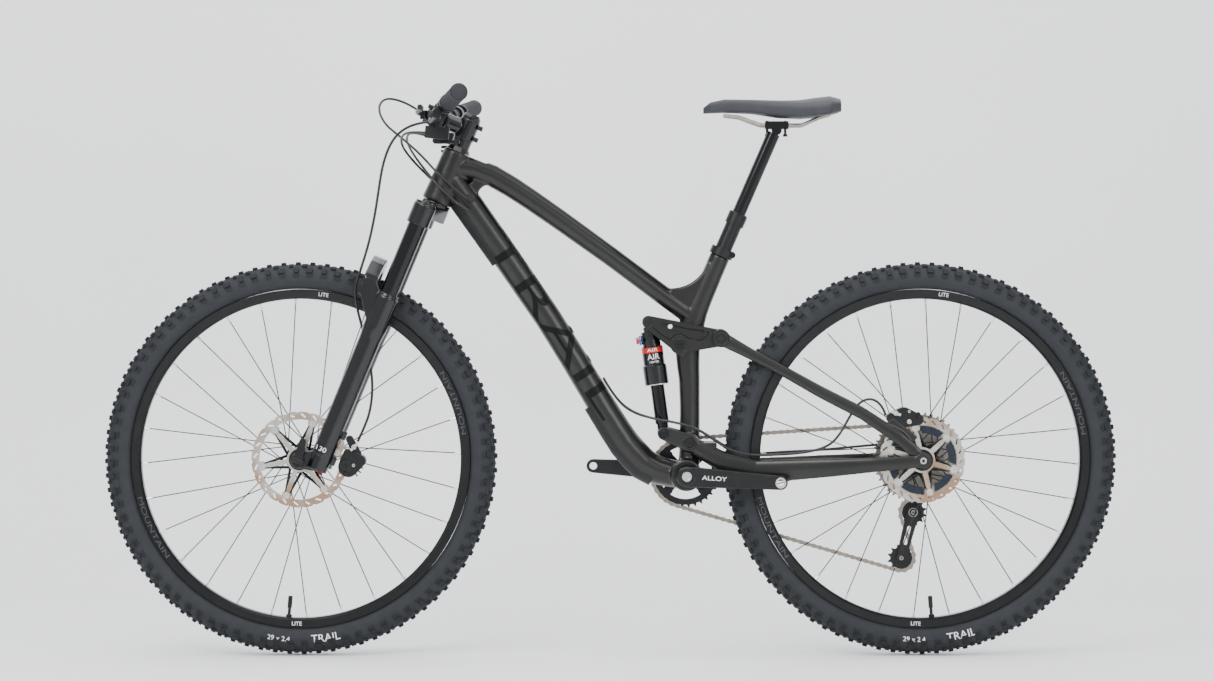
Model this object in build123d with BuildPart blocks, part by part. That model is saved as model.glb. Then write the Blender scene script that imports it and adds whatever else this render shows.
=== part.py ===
"""Full-suspension mountain bike with 130 mm of travel and 29 inch wheels.

Millimetres. +X points to the rear, +Y to the drive side, +Z up.
The origin is on the ground, midway between the axles, in the bike's middle plane.
"""
import os
from math import acos, atan2, cos, degrees, hypot, pi, radians, sin

from build123d import *

os.makedirs("parts", exist_ok=True)

# ---------------------------------------------------------------- driving dimensions
wheelbase = 1162.6
tyre_radius = 370.0
tyre_width = 60.0
rim_radius = 318.0
rim_inner_radius = 300.0
spoke_count = 28
front_rotor_radius = 90.0
rear_rotor_radius = 80.0
front_rotor_y = -39.7
rear_rotor_y = -58.7

head_angle = 67.5
head_low = (-325.8, 0, 850.8)
head_length = 103.0
leg_offset = -15.0
fork_rake = 52.0
axle_to_crown = 542.0
leg_spacing = 65.0
stanchion_radius = 17.0
fork_travel = 130.0

bb = (142.0, 340.0)
crank_length = 175.0
crank_droop = 3.8
spindle_radius = 12.0
chainring_teeth = 32
cog_teeth = (11, 13, 15, 17, 19, 21, 24, 28, 32, 37, 42)
pulley_teeth = 12
chain_pitch = 12.7
chainring_y = 52.0
smallest_cog_y = 63.0
cog_step = 3.74
chain_cog = 8

main_pivot = (148.0, 400.5)
rocker_pivot = (129.5, 584.5)
shock_top = (71.5, 626.0)
shock_bottom = (100.0, 418.0)
stay_pivot = (206.6, 596.3)
guide_pulley_at = (571.6, 266.2)
tension_pulley_at = (549.6, 179.8)

seat_angle = 66.5
seatpost_at = (209.2, 757.4)
saddle_clamp_at = (310.8, 986.0)
rail_y = 22.0
rail_z = 995.0
rail_radius = 3.5
bar_clamp = (-324.0, 1009.5)
bar_bend_y = 95.0
bar_half_width = 380.0
bar_backsweep = 25.0 / 130.0
bar_rise_rate = 15.0 / 130.0
grip_length = 128.0

running_fit = 0.05
tube_wall = 4.0
front_axle = (-wheelbase / 2, tyre_radius)
rear_axle = (wheelbase / 2, tyre_radius)
left, right = -1, 1


# ---------------------------------------------------------------- helpers
def save(part, name):
    """Label a finished piece and write it as its own STEP."""
    part.label = name
    export_step(part, f"parts/{name}.step")


def side_plane(x, y, z, turn=0.0):
    """Plane across the bike: local x rearward, local y up, normal to the left."""
    return Plane(origin=(x, y, z), x_dir=(cos(radians(turn)), 0, sin(radians(turn))), z_dir=(0, -1, 0))


def bar(start, end, radius, mode=Mode.ADD, end_radius=None):
    """Round bar, or a cone, between two points."""
    run = Vector(*end) - Vector(*start)
    with Locations(Plane(origin=start, z_dir=run.normalized())):
        if end_radius is None:
            Cylinder(radius, run.length, align=(Align.CENTER, Align.CENTER, Align.MIN), mode=mode)
        else:
            Cone(radius, end_radius, run.length, align=(Align.CENTER, Align.CENTER, Align.MIN), mode=mode)


def across(spot, y_low, y_high, radius, mode=Mode.ADD):
    """Round bar across the bike, along Y, at a point of the side view."""
    bar((spot[0], y_low, spot[1]), (spot[0], y_high, spot[1]), radius, mode)


def tube_loft(sections, grow=0.0, mode=Mode.ADD):
    """Loft through (x, y, z, depth, width) sections that follow one another in space."""
    spots = [Vector(x, y, z) for x, y, z, _, _ in sections]
    faces = []
    for index, (x, y, z, depth, width) in enumerate(sections):
        before = spots[max(index - 1, 0)]
        after = spots[min(index + 1, len(spots) - 1)]
        run = (after - before).normalized()
        up = Vector(0, 1, 0).cross(run).normalized()
        plane = Plane(origin=(x, y, z), x_dir=up, z_dir=run)
        with BuildSketch(plane, mode=Mode.PRIVATE) as ring:
            Ellipse((depth + grow) / 2, (width + grow) / 2)
        faces.append(ring.sketch.face())
    loft(faces, ruled=True, mode=mode)


def steer_plane(height, offset=0.0, y=0.0):
    """Plane square to the steering axis: local x rearward, local y to the drive side."""
    base = Plane(
        origin=head_low,
        x_dir=(sin(radians(head_angle)), 0, -cos(radians(head_angle))),
        z_dir=(cos(radians(head_angle)), 0, sin(radians(head_angle))),
    )
    return Plane(origin=base.from_local_coords((offset, y, height)), x_dir=base.x_dir, z_dir=base.z_dir)


def steer_point(offset, y, height):
    """A point given from the steering axis, as x, y, z."""
    spot = steer_plane(height, offset, y).origin
    return (spot.X, spot.Y, spot.Z)


def steer_bar(spot, low, high, radius, mode=Mode.ADD, end_radius=None):
    """Round bar along the steering axis' direction, at (offset, y) from the axis."""
    bar(steer_point(*spot, low), steer_point(*spot, high), radius, mode, end_radius)


def hose(points, radii, radius):
    """Round hose along straight runs joined by arcs."""
    with BuildLine(mode=Mode.PRIVATE) as route:
        FilletPolyline(*points, radius=radii)
    start = route.line @ 0
    with BuildSketch(Plane(origin=start, z_dir=route.line % 0), mode=Mode.PRIVATE) as round_section:
        Circle(radius)
    sweep(round_section.sketch, path=route.line)
    return sum(edge.length for edge in route.line.edges())


def arc_radii(points, share=0.45):
    """Largest arc at each corner: a share of its shorter run, over the tangent of half the turn."""
    spots = [Vector(*p) for p in points]
    radii = []
    for before, here, after in zip(spots, spots[1:], spots[2:]):
        arrive = here - before
        leave = after - here
        turn = radians(arrive.get_angle(leave))
        radii.append(share * min(arrive.length, leave.length) / sin(turn / 2) * cos(turn / 2))
    return radii


def bar_point(side, reach):
    """A point on the handlebar's middle line, a distance out from the middle plane."""
    out = max(reach - bar_bend_y, 0)
    return (bar_clamp[0] + out * bar_backsweep, side * reach, bar_clamp[1] + out * bar_rise_rate)


def control_point(side, reach, ahead, drop):
    """A point ahead of and below the handlebar's middle line."""
    x, y, z = bar_point(side, reach)
    return (x - ahead, y, z - drop)


# ---------------------------------------------------------------- main frame
down_tube = [
    (-306, 0, 904, 52, 50),
    (-275, 0, 861, 53, 50),
    (-196, 0, 749, 52, 50),
    (-117, 0, 634, 51, 50),
    (-70, 0, 558, 51, 51),
    (-23, 0, 480, 52, 53),
    (-5, 0, 451, 53, 55),
    (12, 0, 424, 54, 58),
    (28, 0, 400, 55, 62),
    (45, 0, 380, 56, 66),
    (64, 0, 361, 56, 70),
    (88, 0, 348, 55, 72),
    (116, 0, 341, 52, 72),
    (150, 0, 338, 48, 70),
]
top_tube = [
    (-296, 0, 918, 48, 46),
    (-258, 0, 914, 44, 45),
    (-222, 0, 901, 42, 44),
    (-186, 0, 880, 41, 43),
    (-151, 0, 857, 40, 42),
    (-94.8, 0, 818, 39, 40),
    (0, 0, 750, 37, 38),
    (108, 0, 669.5, 37, 36),
    (158, 0, 634, 38, 34),
]
seat_tube = [
    (146, 0, 336, 40, 54),
    (148, 0, 372, 39, 48),
    (149, 0, 400, 38, 44),
    (149, 0, 470, 38, 38),
    (148, 0, 520, 40, 38),
    (146, 0, 545, 43, 38),
    (145, 0, 570, 46, 38),
    (147, 0, 595, 48, 38),
    (153, 0, 622, 47, 38),
    (161, 0, 647, 44, 38),
    (171, 0, 670, 41, 38),
    (190, 0, 714, 39, 38),
    (206, 0, 751, 38, 38),
]


def make_main_frame():
    with BuildPart() as main_frame:
        across(bb, -46, 46, 29.5)
        tube_loft(seat_tube)
        across(main_pivot, -26, 26, 17)
        across(rocker_pivot, -19.4, 19.4, 16)
        tube_loft(down_tube)
        steer_bar((0, 0), 0, head_length, 30, end_radius=26)
        tube_loft(top_tube)
        with BuildSketch(side_plane(0, 15, 0)):
            with BuildLine():
                Line((112, 668), (112, 690))
                ThreePointArc((112, 690), (150, 700), (183, 741))
                Line((183, 741), (196, 728))
                Line((196, 728), (160, 655))
                Line((160, 655), (112, 668))
            make_face()
        extrude(amount=30)
        with BuildSketch(side_plane(0, 14, 0)):
            with BuildLine():
                Line((-268, 880), (-248, 905))
                Line((-248, 905), (-228, 884))
                ThreePointArc((-228, 884), (-243, 877), (-249, 858))
                Line((-249, 858), (-268, 880))
            make_face()
        extrude(amount=28)
        tube_loft(down_tube[1:7], grow=-2 * tube_wall, mode=Mode.SUBTRACT)
        tube_loft(top_tube[1:8], grow=-2 * tube_wall, mode=Mode.SUBTRACT)
        tube_loft(seat_tube[2:6], grow=-2 * tube_wall, mode=Mode.SUBTRACT)
        for reach in (0, 64):
            spot = bottle_boss(reach)
            bar(spot[0], spot[1], 7)
        steer_bar((0, 0), -40, 0, 60, mode=Mode.SUBTRACT)
        steer_bar((0, 0), head_length, head_length + 40, 60, mode=Mode.SUBTRACT)
        steer_bar((0, 0), 0, 8, 26, mode=Mode.SUBTRACT)
        steer_bar((0, 0), 0, head_length, 20.4, mode=Mode.SUBTRACT)
        steer_bar((0, 0), head_length - 8, head_length, 21, mode=Mode.SUBTRACT)
        across(bb, -46, 46, 20.5, mode=Mode.SUBTRACT)
        across(main_pivot, -26, 26, 7.5, mode=Mode.SUBTRACT)
        across(rocker_pivot, -20, 20, 6, mode=Mode.SUBTRACT)
        bar(seat_axis_point(-150), seat_axis_point(1), 15.5, mode=Mode.SUBTRACT)
        for reach in (0, 64):
            spot = bottle_boss(reach)
            bar(spot[2], spot[1], 2.5, mode=Mode.SUBTRACT)
    save(main_frame.part, "main_frame")
    return main_frame.part


def seat_axis_point(height):
    """A point on the seatpost's axis, measured up from the seat tube's top."""
    return (
        seatpost_at[0] + height * cos(radians(seat_angle)),
        0,
        seatpost_at[1] + height * sin(radians(seat_angle)),
    )


def bottle_boss(reach):
    """Inner end, outer face and hole bottom of a bottle boss on the down tube's upper side."""
    along = Vector(-0.516, 0, 0.857)
    away = Vector(0.857, 0, 0.516)
    foot = Vector(-62, 0, 545) + along * reach
    inner = foot + away * 10
    outer = foot + away * 27.5
    bottom = foot + away * 13.5
    return tuple(inner), tuple(outer), tuple(bottom)


def make_frame_guards(frame_part):
    """Rubber bumper below the down tube's top, a guard at its foot, and two hose port covers."""
    with BuildPart() as frame_guards:
        upper = [(x - 4.5, y, z - 3.2, depth, width - 6) for x, y, z, depth, width in down_tube[1:3]]
        tube_loft(upper)
        lower = [(x - 3.5, y, z - 4.5, depth, width - 8) for x, y, z, depth, width in down_tube[5:12]]
        tube_loft(lower)
        for side in (left, right):
            bar((-262, side * 20, 858), (-262, side * 27.5, 860), 8)
        add(frame_part, mode=Mode.SUBTRACT)
        tube_loft(down_tube[1:7], grow=-tube_wall, mode=Mode.SUBTRACT)
    pieces = [solid for solid in frame_guards.part.solids() if solid.volume > 150]
    save(Compound(pieces), "frame_guards")


def make_frame_bearings():
    """Headset bearings, bottom bracket cups, and the axles of the two frame pivots."""
    with BuildPart() as frame_bearings:
        steer_bar((0, 0), 0.1, 8, 26)
        steer_bar((0, 0), head_length - 8, head_length, 21)
        steer_bar((0, 0), -1, 9, 19.95 + running_fit, mode=Mode.SUBTRACT)
        steer_bar((0, 0), head_length - 9, head_length + 1, 14.3 + running_fit, mode=Mode.SUBTRACT)
        for side in (left, right):
            across(bb, *sorted((side * 34, side * 46)), 20.5)
            across(bb, *sorted((side * 46, side * 48.5)), 23.5)
        across(bb, -50, 50, spindle_radius + running_fit, mode=Mode.SUBTRACT)
        across(main_pivot, -37.5, 37.5, 7.5)
        across(main_pivot, -38, 38, 4.5, mode=Mode.SUBTRACT)
        across(rocker_pivot, -31, 31, 6)
        for side in (left, right):
            across(rocker_pivot, *sorted((side * 30.4, side * 33)), 9.5)
        across(rocker_pivot, -34, 34, 3, mode=Mode.SUBTRACT)
    save(frame_bearings.part, "frame_bearings")


def make_seat_clamp():
    """Split ring that pinches the seat tube's top, with its bolt."""
    with BuildPart() as seat_clamp:
        bar(seat_axis_point(-8), seat_axis_point(7), 22.5)
        bar((228, -8, 752), (228, 8, 752), 6.5)
        bar(seat_axis_point(-8), seat_axis_point(1), 19.4, mode=Mode.SUBTRACT)
        bar(seat_axis_point(-9), seat_axis_point(8), 15.5, mode=Mode.SUBTRACT)
        bar((228, -12, 752), (228, 12, 752), 2.5, mode=Mode.SUBTRACT)
        with BuildSketch(side_plane(0, 0.9, 0)):
            with BuildLine():
                Polyline((212, 740), (240, 735), (245, 765), (222, 772), (212, 740))
            make_face()
        extrude(amount=1.8, mode=Mode.SUBTRACT)
        bar((228, -12, 752), (228, 10, 752), 2.5)
        bar((228, -12, 752), (228, -8, 752), 4.2)
    save(seat_clamp.part, "seat_clamp")


def make_dropper():
    """Dropper seatpost: outer tube with its collar, and the inner tube with the saddle clamp's base."""
    with BuildPart() as dropper_outer:
        bar(seat_axis_point(-140), seat_axis_point(56), 15.5)
        bar(seat_axis_point(56), seat_axis_point(80), 18.2)
        chamfer(dropper_outer.edges().group_by(Axis.Z)[-1], 2)
        bar(seat_axis_point(-141), seat_axis_point(81), 12.7 + running_fit, mode=Mode.SUBTRACT)
    save(dropper_outer.part, "dropper_outer")
    with BuildPart() as dropper_inner:
        bar(seat_axis_point(-12), seat_axis_point(243), 12.7)
        bar(seat_axis_point(-13), seat_axis_point(232), 10.5, mode=Mode.SUBTRACT)
        across(saddle_clamp_at, -26, 26, 9.5)
        with Locations((saddle_clamp_at[0], 0, rail_z)):
            Box(44, 54, 15)
        for side in (left, right):
            bar(rail_end(side, -40), rail_end(side, 40), rail_radius, mode=Mode.SUBTRACT)
        for shift in (-17, 17):
            bar((saddle_clamp_at[0] + shift, 0, 974), (saddle_clamp_at[0] + shift, 0, 1004), 2.5)
            bar((saddle_clamp_at[0] + shift, 0, 974), (saddle_clamp_at[0] + shift, 0, 979), 4.2)
    save(dropper_inner.part, "dropper_inner")


def rail_end(side, reach):
    """A point on a saddle rail's straight stretch, from the middle of the clamp."""
    return (saddle_clamp_at[0] + reach, side * rail_y, rail_z)


def make_saddle():
    """Saddle with its shell as one padded body, and the two rails in one bent wire."""
    with BuildPart() as saddle:
        stations = [
            (172, 1026, 24, 16),
            (200, 1028, 38, 25),
            (250, 1027, 46, 26),
            (310, 1024, 66, 30),
            (365, 1026, 112, 31),
            (405, 1033, 142, 31),
            (432, 1040, 120, 20),
        ]
        faces = []
        for x, z, width, height in stations:
            section_plane = Plane(origin=(x, 0, z), x_dir=(0, 1, 0), z_dir=(1, 0, 0))
            with BuildSketch(section_plane, mode=Mode.PRIVATE) as section:
                Ellipse(width / 2, height / 2)
            faces.append(section.sketch.face())
        loft(faces)
    save(saddle.part, "saddle")
    with BuildPart() as saddle_rails:
        for side in (left, right):
            points = [
                (212, side * 10, 1013),
                (240, side * 14, 1010),
                (282, side * rail_y, rail_z),
                (358, side * rail_y, rail_z),
                (392, side * 30, 1010),
                (412, side * 34, 1016),
            ]
            hose(points, [20, 20, 14, 12], rail_radius)
        add(saddle.part, mode=Mode.SUBTRACT)
    save(keep_large(saddle_rails.part, 400), "saddle_rails")
    return saddle.part


def keep_large(part, least):
    """The solids of a group above a least volume, without the slivers that a cut leaves."""
    return Compound([solid for solid in part.solids() if solid.volume > least])


# ---------------------------------------------------------------- wheels
def wheel_plane(axle):
    """Section plane of a wheel: local x across the bike, local y outward from the axle."""
    return Plane(origin=(axle[0], 0, axle[1]), x_dir=(0, 1, 0), z_dir=(1, 0, 0))


def wheel_axis(axle):
    """Axis of a wheel, along Y."""
    return Axis((axle[0], 0, axle[1]), (0, 1, 0))


def wheel_point(axle, radius, angle, y):
    """A point on a wheel: the angle is measured from straight back, upward."""
    return (axle[0] + radius * cos(radians(angle)), y, axle[1] + radius * sin(radians(angle)))


def make_tyre(axle, name):
    """Tyre casing with its bead and a ridged tread band."""
    half = tyre_width / 2
    with BuildPart() as tyre:
        with BuildSketch(wheel_plane(axle)):
            with BuildLine():
                Polyline((-11, 318.4), (-16, 318.4), (-16.5, 322))
                ThreePointArc((-16.5, 322), (-half + 1.5, 341), (-24, 358))
                Polyline((-24, 358), (-half, 359), (-half + 1, 363), (-22, 365.5), (-20, 363))
                ThreePointArc((-20, 363), (-15, 365.2), (-10, 366.3))
                Polyline((-10, 366.3), (-9, tyre_radius), (9, tyre_radius), (10, 366.3))
                ThreePointArc((10, 366.3), (15, 365.2), (20, 363))
                Polyline((20, 363), (22, 365.5), (half - 1, 363), (half, 359), (24, 358))
                ThreePointArc((24, 358), (half - 1.5, 341), (16.5, 322))
                Polyline((16.5, 322), (16, 318.4), (11, 318.4), (11, 321.5), (14, 323))
                ThreePointArc((14, 323), (25.5, 341), (21, 355.5))
                ThreePointArc((21, 355.5), (0, 363), (-21, 355.5))
                ThreePointArc((-21, 355.5), (-25.5, 341), (-14, 323))
                Polyline((-14, 323), (-11, 321.5), (-11, 318.4))
            make_face()
        revolve(axis=wheel_axis(axle))
    save(tyre.part, name)


def make_rim(axle, valve_angle, name):
    """Hollow box-section rim with spoke and valve holes."""
    with BuildPart() as rim:
        with BuildSketch(wheel_plane(axle)):
            with BuildLine():
                Polyline(
                    (-9, rim_inner_radius), (9, rim_inner_radius), (14, 304), (16, rim_radius),
                    (13, rim_radius), (12, 313), (-12, 313), (-13, rim_radius),
                    (-16, rim_radius), (-14, 304), (-9, rim_inner_radius),
                )
            make_face()
            with BuildLine():
                Polyline((-8, 302), (8, 302), (12, 305.2), (13, 311), (-13, 311), (-12, 305.2), (-8, 302))
            make_face(mode=Mode.SUBTRACT)
        revolve(axis=wheel_axis(axle))
        bar(wheel_point(axle, 296, valve_angle, 0), wheel_point(axle, 316, valve_angle, 0), 3.2,
            mode=Mode.SUBTRACT)
    save(rim.part, name)
    with BuildPart() as valve:
        bar(wheel_point(axle, 314, valve_angle, 0), wheel_point(axle, 262, valve_angle, 0), 3)
        bar(wheel_point(axle, 313.2, valve_angle, 0), wheel_point(axle, 316.5, valve_angle, 0), 6)
        bar(wheel_point(axle, 299.7, valve_angle, 0), wheel_point(axle, 295, valve_angle, 0), 5.5)
        bar(wheel_point(axle, 282, valve_angle, 0), wheel_point(axle, 260, valve_angle, 0), 4.2)
    save(valve.part, name.replace("rim", "valve"))


def make_spokes(axle, valve_angle, flanges, name):
    """Straight-pull look, three-cross lacing: half of the spokes lead and half trail on each flange."""
    per_flange = spoke_count // 2
    flange_step = 360 / per_flange
    with BuildPart() as spokes:
        for flange_number, (flange_y, flange_radius) in enumerate(flanges):
            for number in range(per_flange):
                rim_angle = valve_angle + (number + 0.25 + flange_number * 0.5) * flange_step
                lead = 1 if number % 2 == 0 else -1
                hub_angle = rim_angle - lead * 3 * flange_step
                hub_end = wheel_point(axle, flange_radius, hub_angle, flange_y + lead * 2.0)
                side_shift = 2.5 if flange_y > 0 else -2.5
                rim_end = wheel_point(axle, rim_inner_radius - 0.05, rim_angle, side_shift)
                bar(hub_end, rim_end, 1.0)
    save(spokes.part, name)


def make_hub(axle, sections, bore, flanges, name):
    """Hub shell turned from (y, radius) stations, bored for its axle, with raised spoke flanges."""
    with BuildPart() as hub:
        for (y_low, low_radius), (y_high, high_radius) in zip(sections, sections[1:]):
            if y_high > y_low:
                start = (axle[0], y_low, axle[1])
                end = (axle[0], y_high, axle[1])
                if low_radius == high_radius:
                    bar(start, end, low_radius)
                else:
                    bar(start, end, low_radius, end_radius=high_radius)
        for flange_y, flange_radius in flanges:
            across(axle, flange_y - 0.95, flange_y + 0.95, flange_radius - 1.1)
        across(axle, sections[0][0] - 1, sections[-1][0] + 1, bore + running_fit, mode=Mode.SUBTRACT)
    save(hub.part, name)


def make_rotor(axle, rotor_y, outer_radius, arm_start, name):
    """Brake rotor: steel ring with wavy edges on a six-armed carrier."""
    inner_radius = outer_radius - 15
    with BuildPart() as rotor:
        with BuildSketch(side_plane(axle[0], rotor_y + 0.9, axle[1])):
            Circle(outer_radius)
            Circle(inner_radius, mode=Mode.SUBTRACT)
            with PolarLocations(inner_radius - 4, 6, start_angle=arm_start):
                Circle(9)
            with PolarLocations(outer_radius - 7.5, 24, start_angle=arm_start):
                SlotOverall(11, 3.2, rotation=55, mode=Mode.SUBTRACT)
            with PolarLocations(outer_radius + 3.2, 24, start_angle=arm_start + 7.5):
                Circle(5.2, mode=Mode.SUBTRACT)
        extrude(amount=1.8)
        with BuildSketch(side_plane(axle[0], rotor_y + 2.4, axle[1])):
            Circle(24)
            with PolarLocations(0, 6, start_angle=arm_start):
                with Locations((24, 0)):
                    Rectangle(inner_radius - 22, 9, align=(Align.MIN, Align.CENTER))
            Circle(17.2, mode=Mode.SUBTRACT)
        extrude(amount=4.8)
        across(axle, rotor_y - 4, rotor_y + 4, 17.2, mode=Mode.SUBTRACT)
    save(rotor.part, name)


# ---------------------------------------------------------------- fork
def fork_side(y):
    """Side-view plane in the fork's own lines: local x from the steering axis, local y along it."""
    return Plane(
        origin=(head_low[0], y, head_low[2]),
        x_dir=(sin(radians(head_angle)), 0, -cos(radians(head_angle))),
        z_dir=(0, -1, 0),
    )


def make_fork_crown():
    """Tapered steerer with the forged crown, the air cap and the damper cap."""
    with BuildPart() as crown:
        steer_bar((0, 0), -8, 12, 19.95)
        steer_bar((0, 0), 12, 60, 19.95, end_radius=14.3)
        steer_bar((0, 0), 60, 172, 14.3)
        steer_bar((0, 0), -8, -0.4, 27)
        with BuildSketch(steer_plane(-34)):
            Circle(27)
            with Locations((leg_offset, -leg_spacing), (leg_offset, leg_spacing)):
                Circle(18)
            make_hull()
        extrude(amount=26)
        for side in (left, right):
            steer_bar((leg_offset, side * leg_spacing), -52, -14, 21.5)
            steer_bar((leg_offset, side * leg_spacing), -14, -12, 21.5, end_radius=20)
        for side in (left, right):
            steer_bar((leg_offset, side * leg_spacing), -53, -11, stanchion_radius, mode=Mode.SUBTRACT)
        steer_bar((0, 0), -36, 174, 11.5, mode=Mode.SUBTRACT)
    caps = []
    for side in (left, right):
        with BuildPart() as cap:
            steer_bar((leg_offset, side * leg_spacing), -11.9, -7, 19.5)
            if side == left:
                steer_bar((leg_offset, side * leg_spacing), -7, -2, 9)
            chamfer(cap.edges().group_by(Axis.Z)[-1], 0.8)
        caps += cap.part.solids()
    save(Compound(crown.part.solids() + caps), "fork_crown")
    with BuildPart() as stanchions:
        for side in (left, right):
            spot = (leg_offset, side * leg_spacing)
            steer_bar(spot, -380, -12, stanchion_radius)
            steer_bar(spot, -381, -11, 14.5, mode=Mode.SUBTRACT)
    save(stanchions.part, "stanchions")
    with BuildPart() as compression_dial:
        steer_bar((leg_offset, leg_spacing), -6.7, -1, 12)
        steer_bar((leg_offset, leg_spacing), -1, 3, 7)
    save(compression_dial.part, "compression_dial")


def make_fork_lowers():
    """Lower legs with dropout lugs, arch, brake posts, and the two wiper seals."""
    with BuildPart() as fork_lowers:
        for side in (left, right):
            spot = (leg_offset, side * leg_spacing)
            steer_bar(spot, -262, -198, 22.5)
            steer_bar(spot, -282, -262, 20.8, end_radius=22.5)
            steer_bar(spot, -546, -282, 20, end_radius=20.8)
            with BuildSketch(fork_side(side * 65.7 + 10.3)):
                with Locations((-fork_rake, -axle_to_crown)):
                    Circle(15)
                with Locations((leg_offset, -axle_to_crown + 20)):
                    Circle(17)
                with Locations((leg_offset, -axle_to_crown + 4)):
                    Circle(10)
                make_hull()
            extrude(amount=20.6)
            with BuildSketch(fork_side(side * 62 + 14)):
                with BuildLine():
                    Polyline((-66, -208), (-66, -178), (-44, -178), (-20, -204), (-20, -250), (-36, -250), (-66, -208))
                make_face()
            extrude(amount=28)
        with BuildSketch(Plane(origin=steer_point(-44, 0, 0), x_dir=(0, -1, 0), z_dir=tuple(-fork_side(0).x_dir))):
            outer_left = (-76, -212)
            with BuildLine():
                Polyline(outer_left, (-74, -170), (-52, -146), (-24, -137))
                ThreePointArc((-24, -137), (0, -135), (24, -137))
                Polyline((24, -137), (52, -146), (74, -170), (76, -212), (48, -212), (48, -184), (38, -170))
                ThreePointArc((38, -170), (0, -160), (-38, -170))
                Polyline((-38, -170), (-48, -184), (-48, -212), outer_left)
            make_face()
        extrude(amount=26)
        for height in (-468, -520):
            with BuildSketch(fork_side(-46)):
                with Locations((3, height)):
                    Rectangle(20, 16)
            extrude(amount=12)
        for side in (left, right):
            spot = (leg_offset, side * leg_spacing)
            steer_bar(spot, -525, -176, stanchion_radius + running_fit, mode=Mode.SUBTRACT)
            steer_bar(spot, -560, -524, 5, mode=Mode.SUBTRACT)
        across(front_axle, -80, 80, 7.5, mode=Mode.SUBTRACT)
    with BuildPart() as wipers:
        for side in (left, right):
            spot = (leg_offset, side * leg_spacing)
            steer_bar(spot, -198, -191, 20.5)
            steer_bar(spot, -199, -190, stanchion_radius + running_fit, mode=Mode.SUBTRACT)
    save(Compound(fork_lowers.part.solids() + wipers.part.solids()), "fork_lowers")
    with BuildPart() as rebound_knob:
        steer_bar((leg_offset, leg_spacing), -563, -553, 8)
        steer_bar((leg_offset, leg_spacing), -553, -530, 4.9)
    save(rebound_knob.part, "rebound_knob")


def lever_pin(y, reach):
    """A point on the pin that the front axle's lever folds about."""
    square = radians(90 - head_angle)
    return (front_axle[0] + reach * cos(square), y, front_axle[1] - reach * sin(square))


def make_front_axle():
    """Front through-axle with its cam head, and the folding lever."""
    pin_y = -87.2
    with BuildPart() as front_axle_bar:
        across(front_axle, -76, 76.5, 7.5)
        across(front_axle, -81.5, -76, 12)
        across(front_axle, 76.2, 80, 11)
        across(front_axle, -70, 82, 4, mode=Mode.SUBTRACT)
        for side in (left, right):
            bar(lever_pin(-80.5, side * 10.6), lever_pin(pin_y, side * 10.6), 1.3)
            bar(lever_pin(pin_y, side * 9.4), lever_pin(pin_y, side * 11.4), 4.6)
        bar(lever_pin(pin_y, -10.4), lever_pin(pin_y, 10.4), 2.4)
    save(front_axle_bar.part, "front_axle")
    with BuildPart() as front_axle_lever:
        bar(lever_pin(pin_y, -9), lever_pin(pin_y, 9), 5)
        with BuildSketch(fork_side(-84.7)):
            with BuildLine():
                foot = (-fork_rake + 9, -axle_to_crown)
                Polyline(foot, (-fork_rake - 9, -axle_to_crown), (-fork_rake - 11, -axle_to_crown + 38))
                ThreePointArc(
                    (-fork_rake - 11, -axle_to_crown + 38),
                    (-fork_rake - 5, -axle_to_crown + 43),
                    (-fork_rake + 1, -axle_to_crown + 38),
                )
                Line((-fork_rake + 1, -axle_to_crown + 38), foot)
            make_face()
        extrude(amount=5)
        bar(lever_pin(pin_y, -10), lever_pin(pin_y, 10), 2.4 + running_fit, mode=Mode.SUBTRACT)
    save(front_axle_lever.part, "front_axle_lever")


def make_front_caliper():
    """Front brake caliper with its adapter, slotted for the rotor."""
    with BuildPart() as front_caliper:
        with BuildSketch(fork_side(-27)):
            with Locations((38, -519)):
                Circle(19)
            with Locations((54, -500)):
                Circle(11)
            with Locations((27, -496)):
                Circle(8)
            make_hull()
        extrude(amount=32)
        with BuildSketch(fork_side(-46)):
            with Locations((20.5, -470)):
                Circle(7)
            with Locations((44, -490)):
                Circle(8)
            make_hull()
        extrude(amount=11)
        across(front_axle, -42.6, -36.8, front_rotor_radius + 4, mode=Mode.SUBTRACT)
        with BuildSketch(fork_side(-26)):
            with Locations((-fork_rake, -axle_to_crown)):
                Circle(70)
        extrude(amount=40, mode=Mode.SUBTRACT)
    save(front_caliper.part, "front_caliper")


# ---------------------------------------------------------------- cockpit
stem_height = 147.3
stem_reach = 59.0


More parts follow.
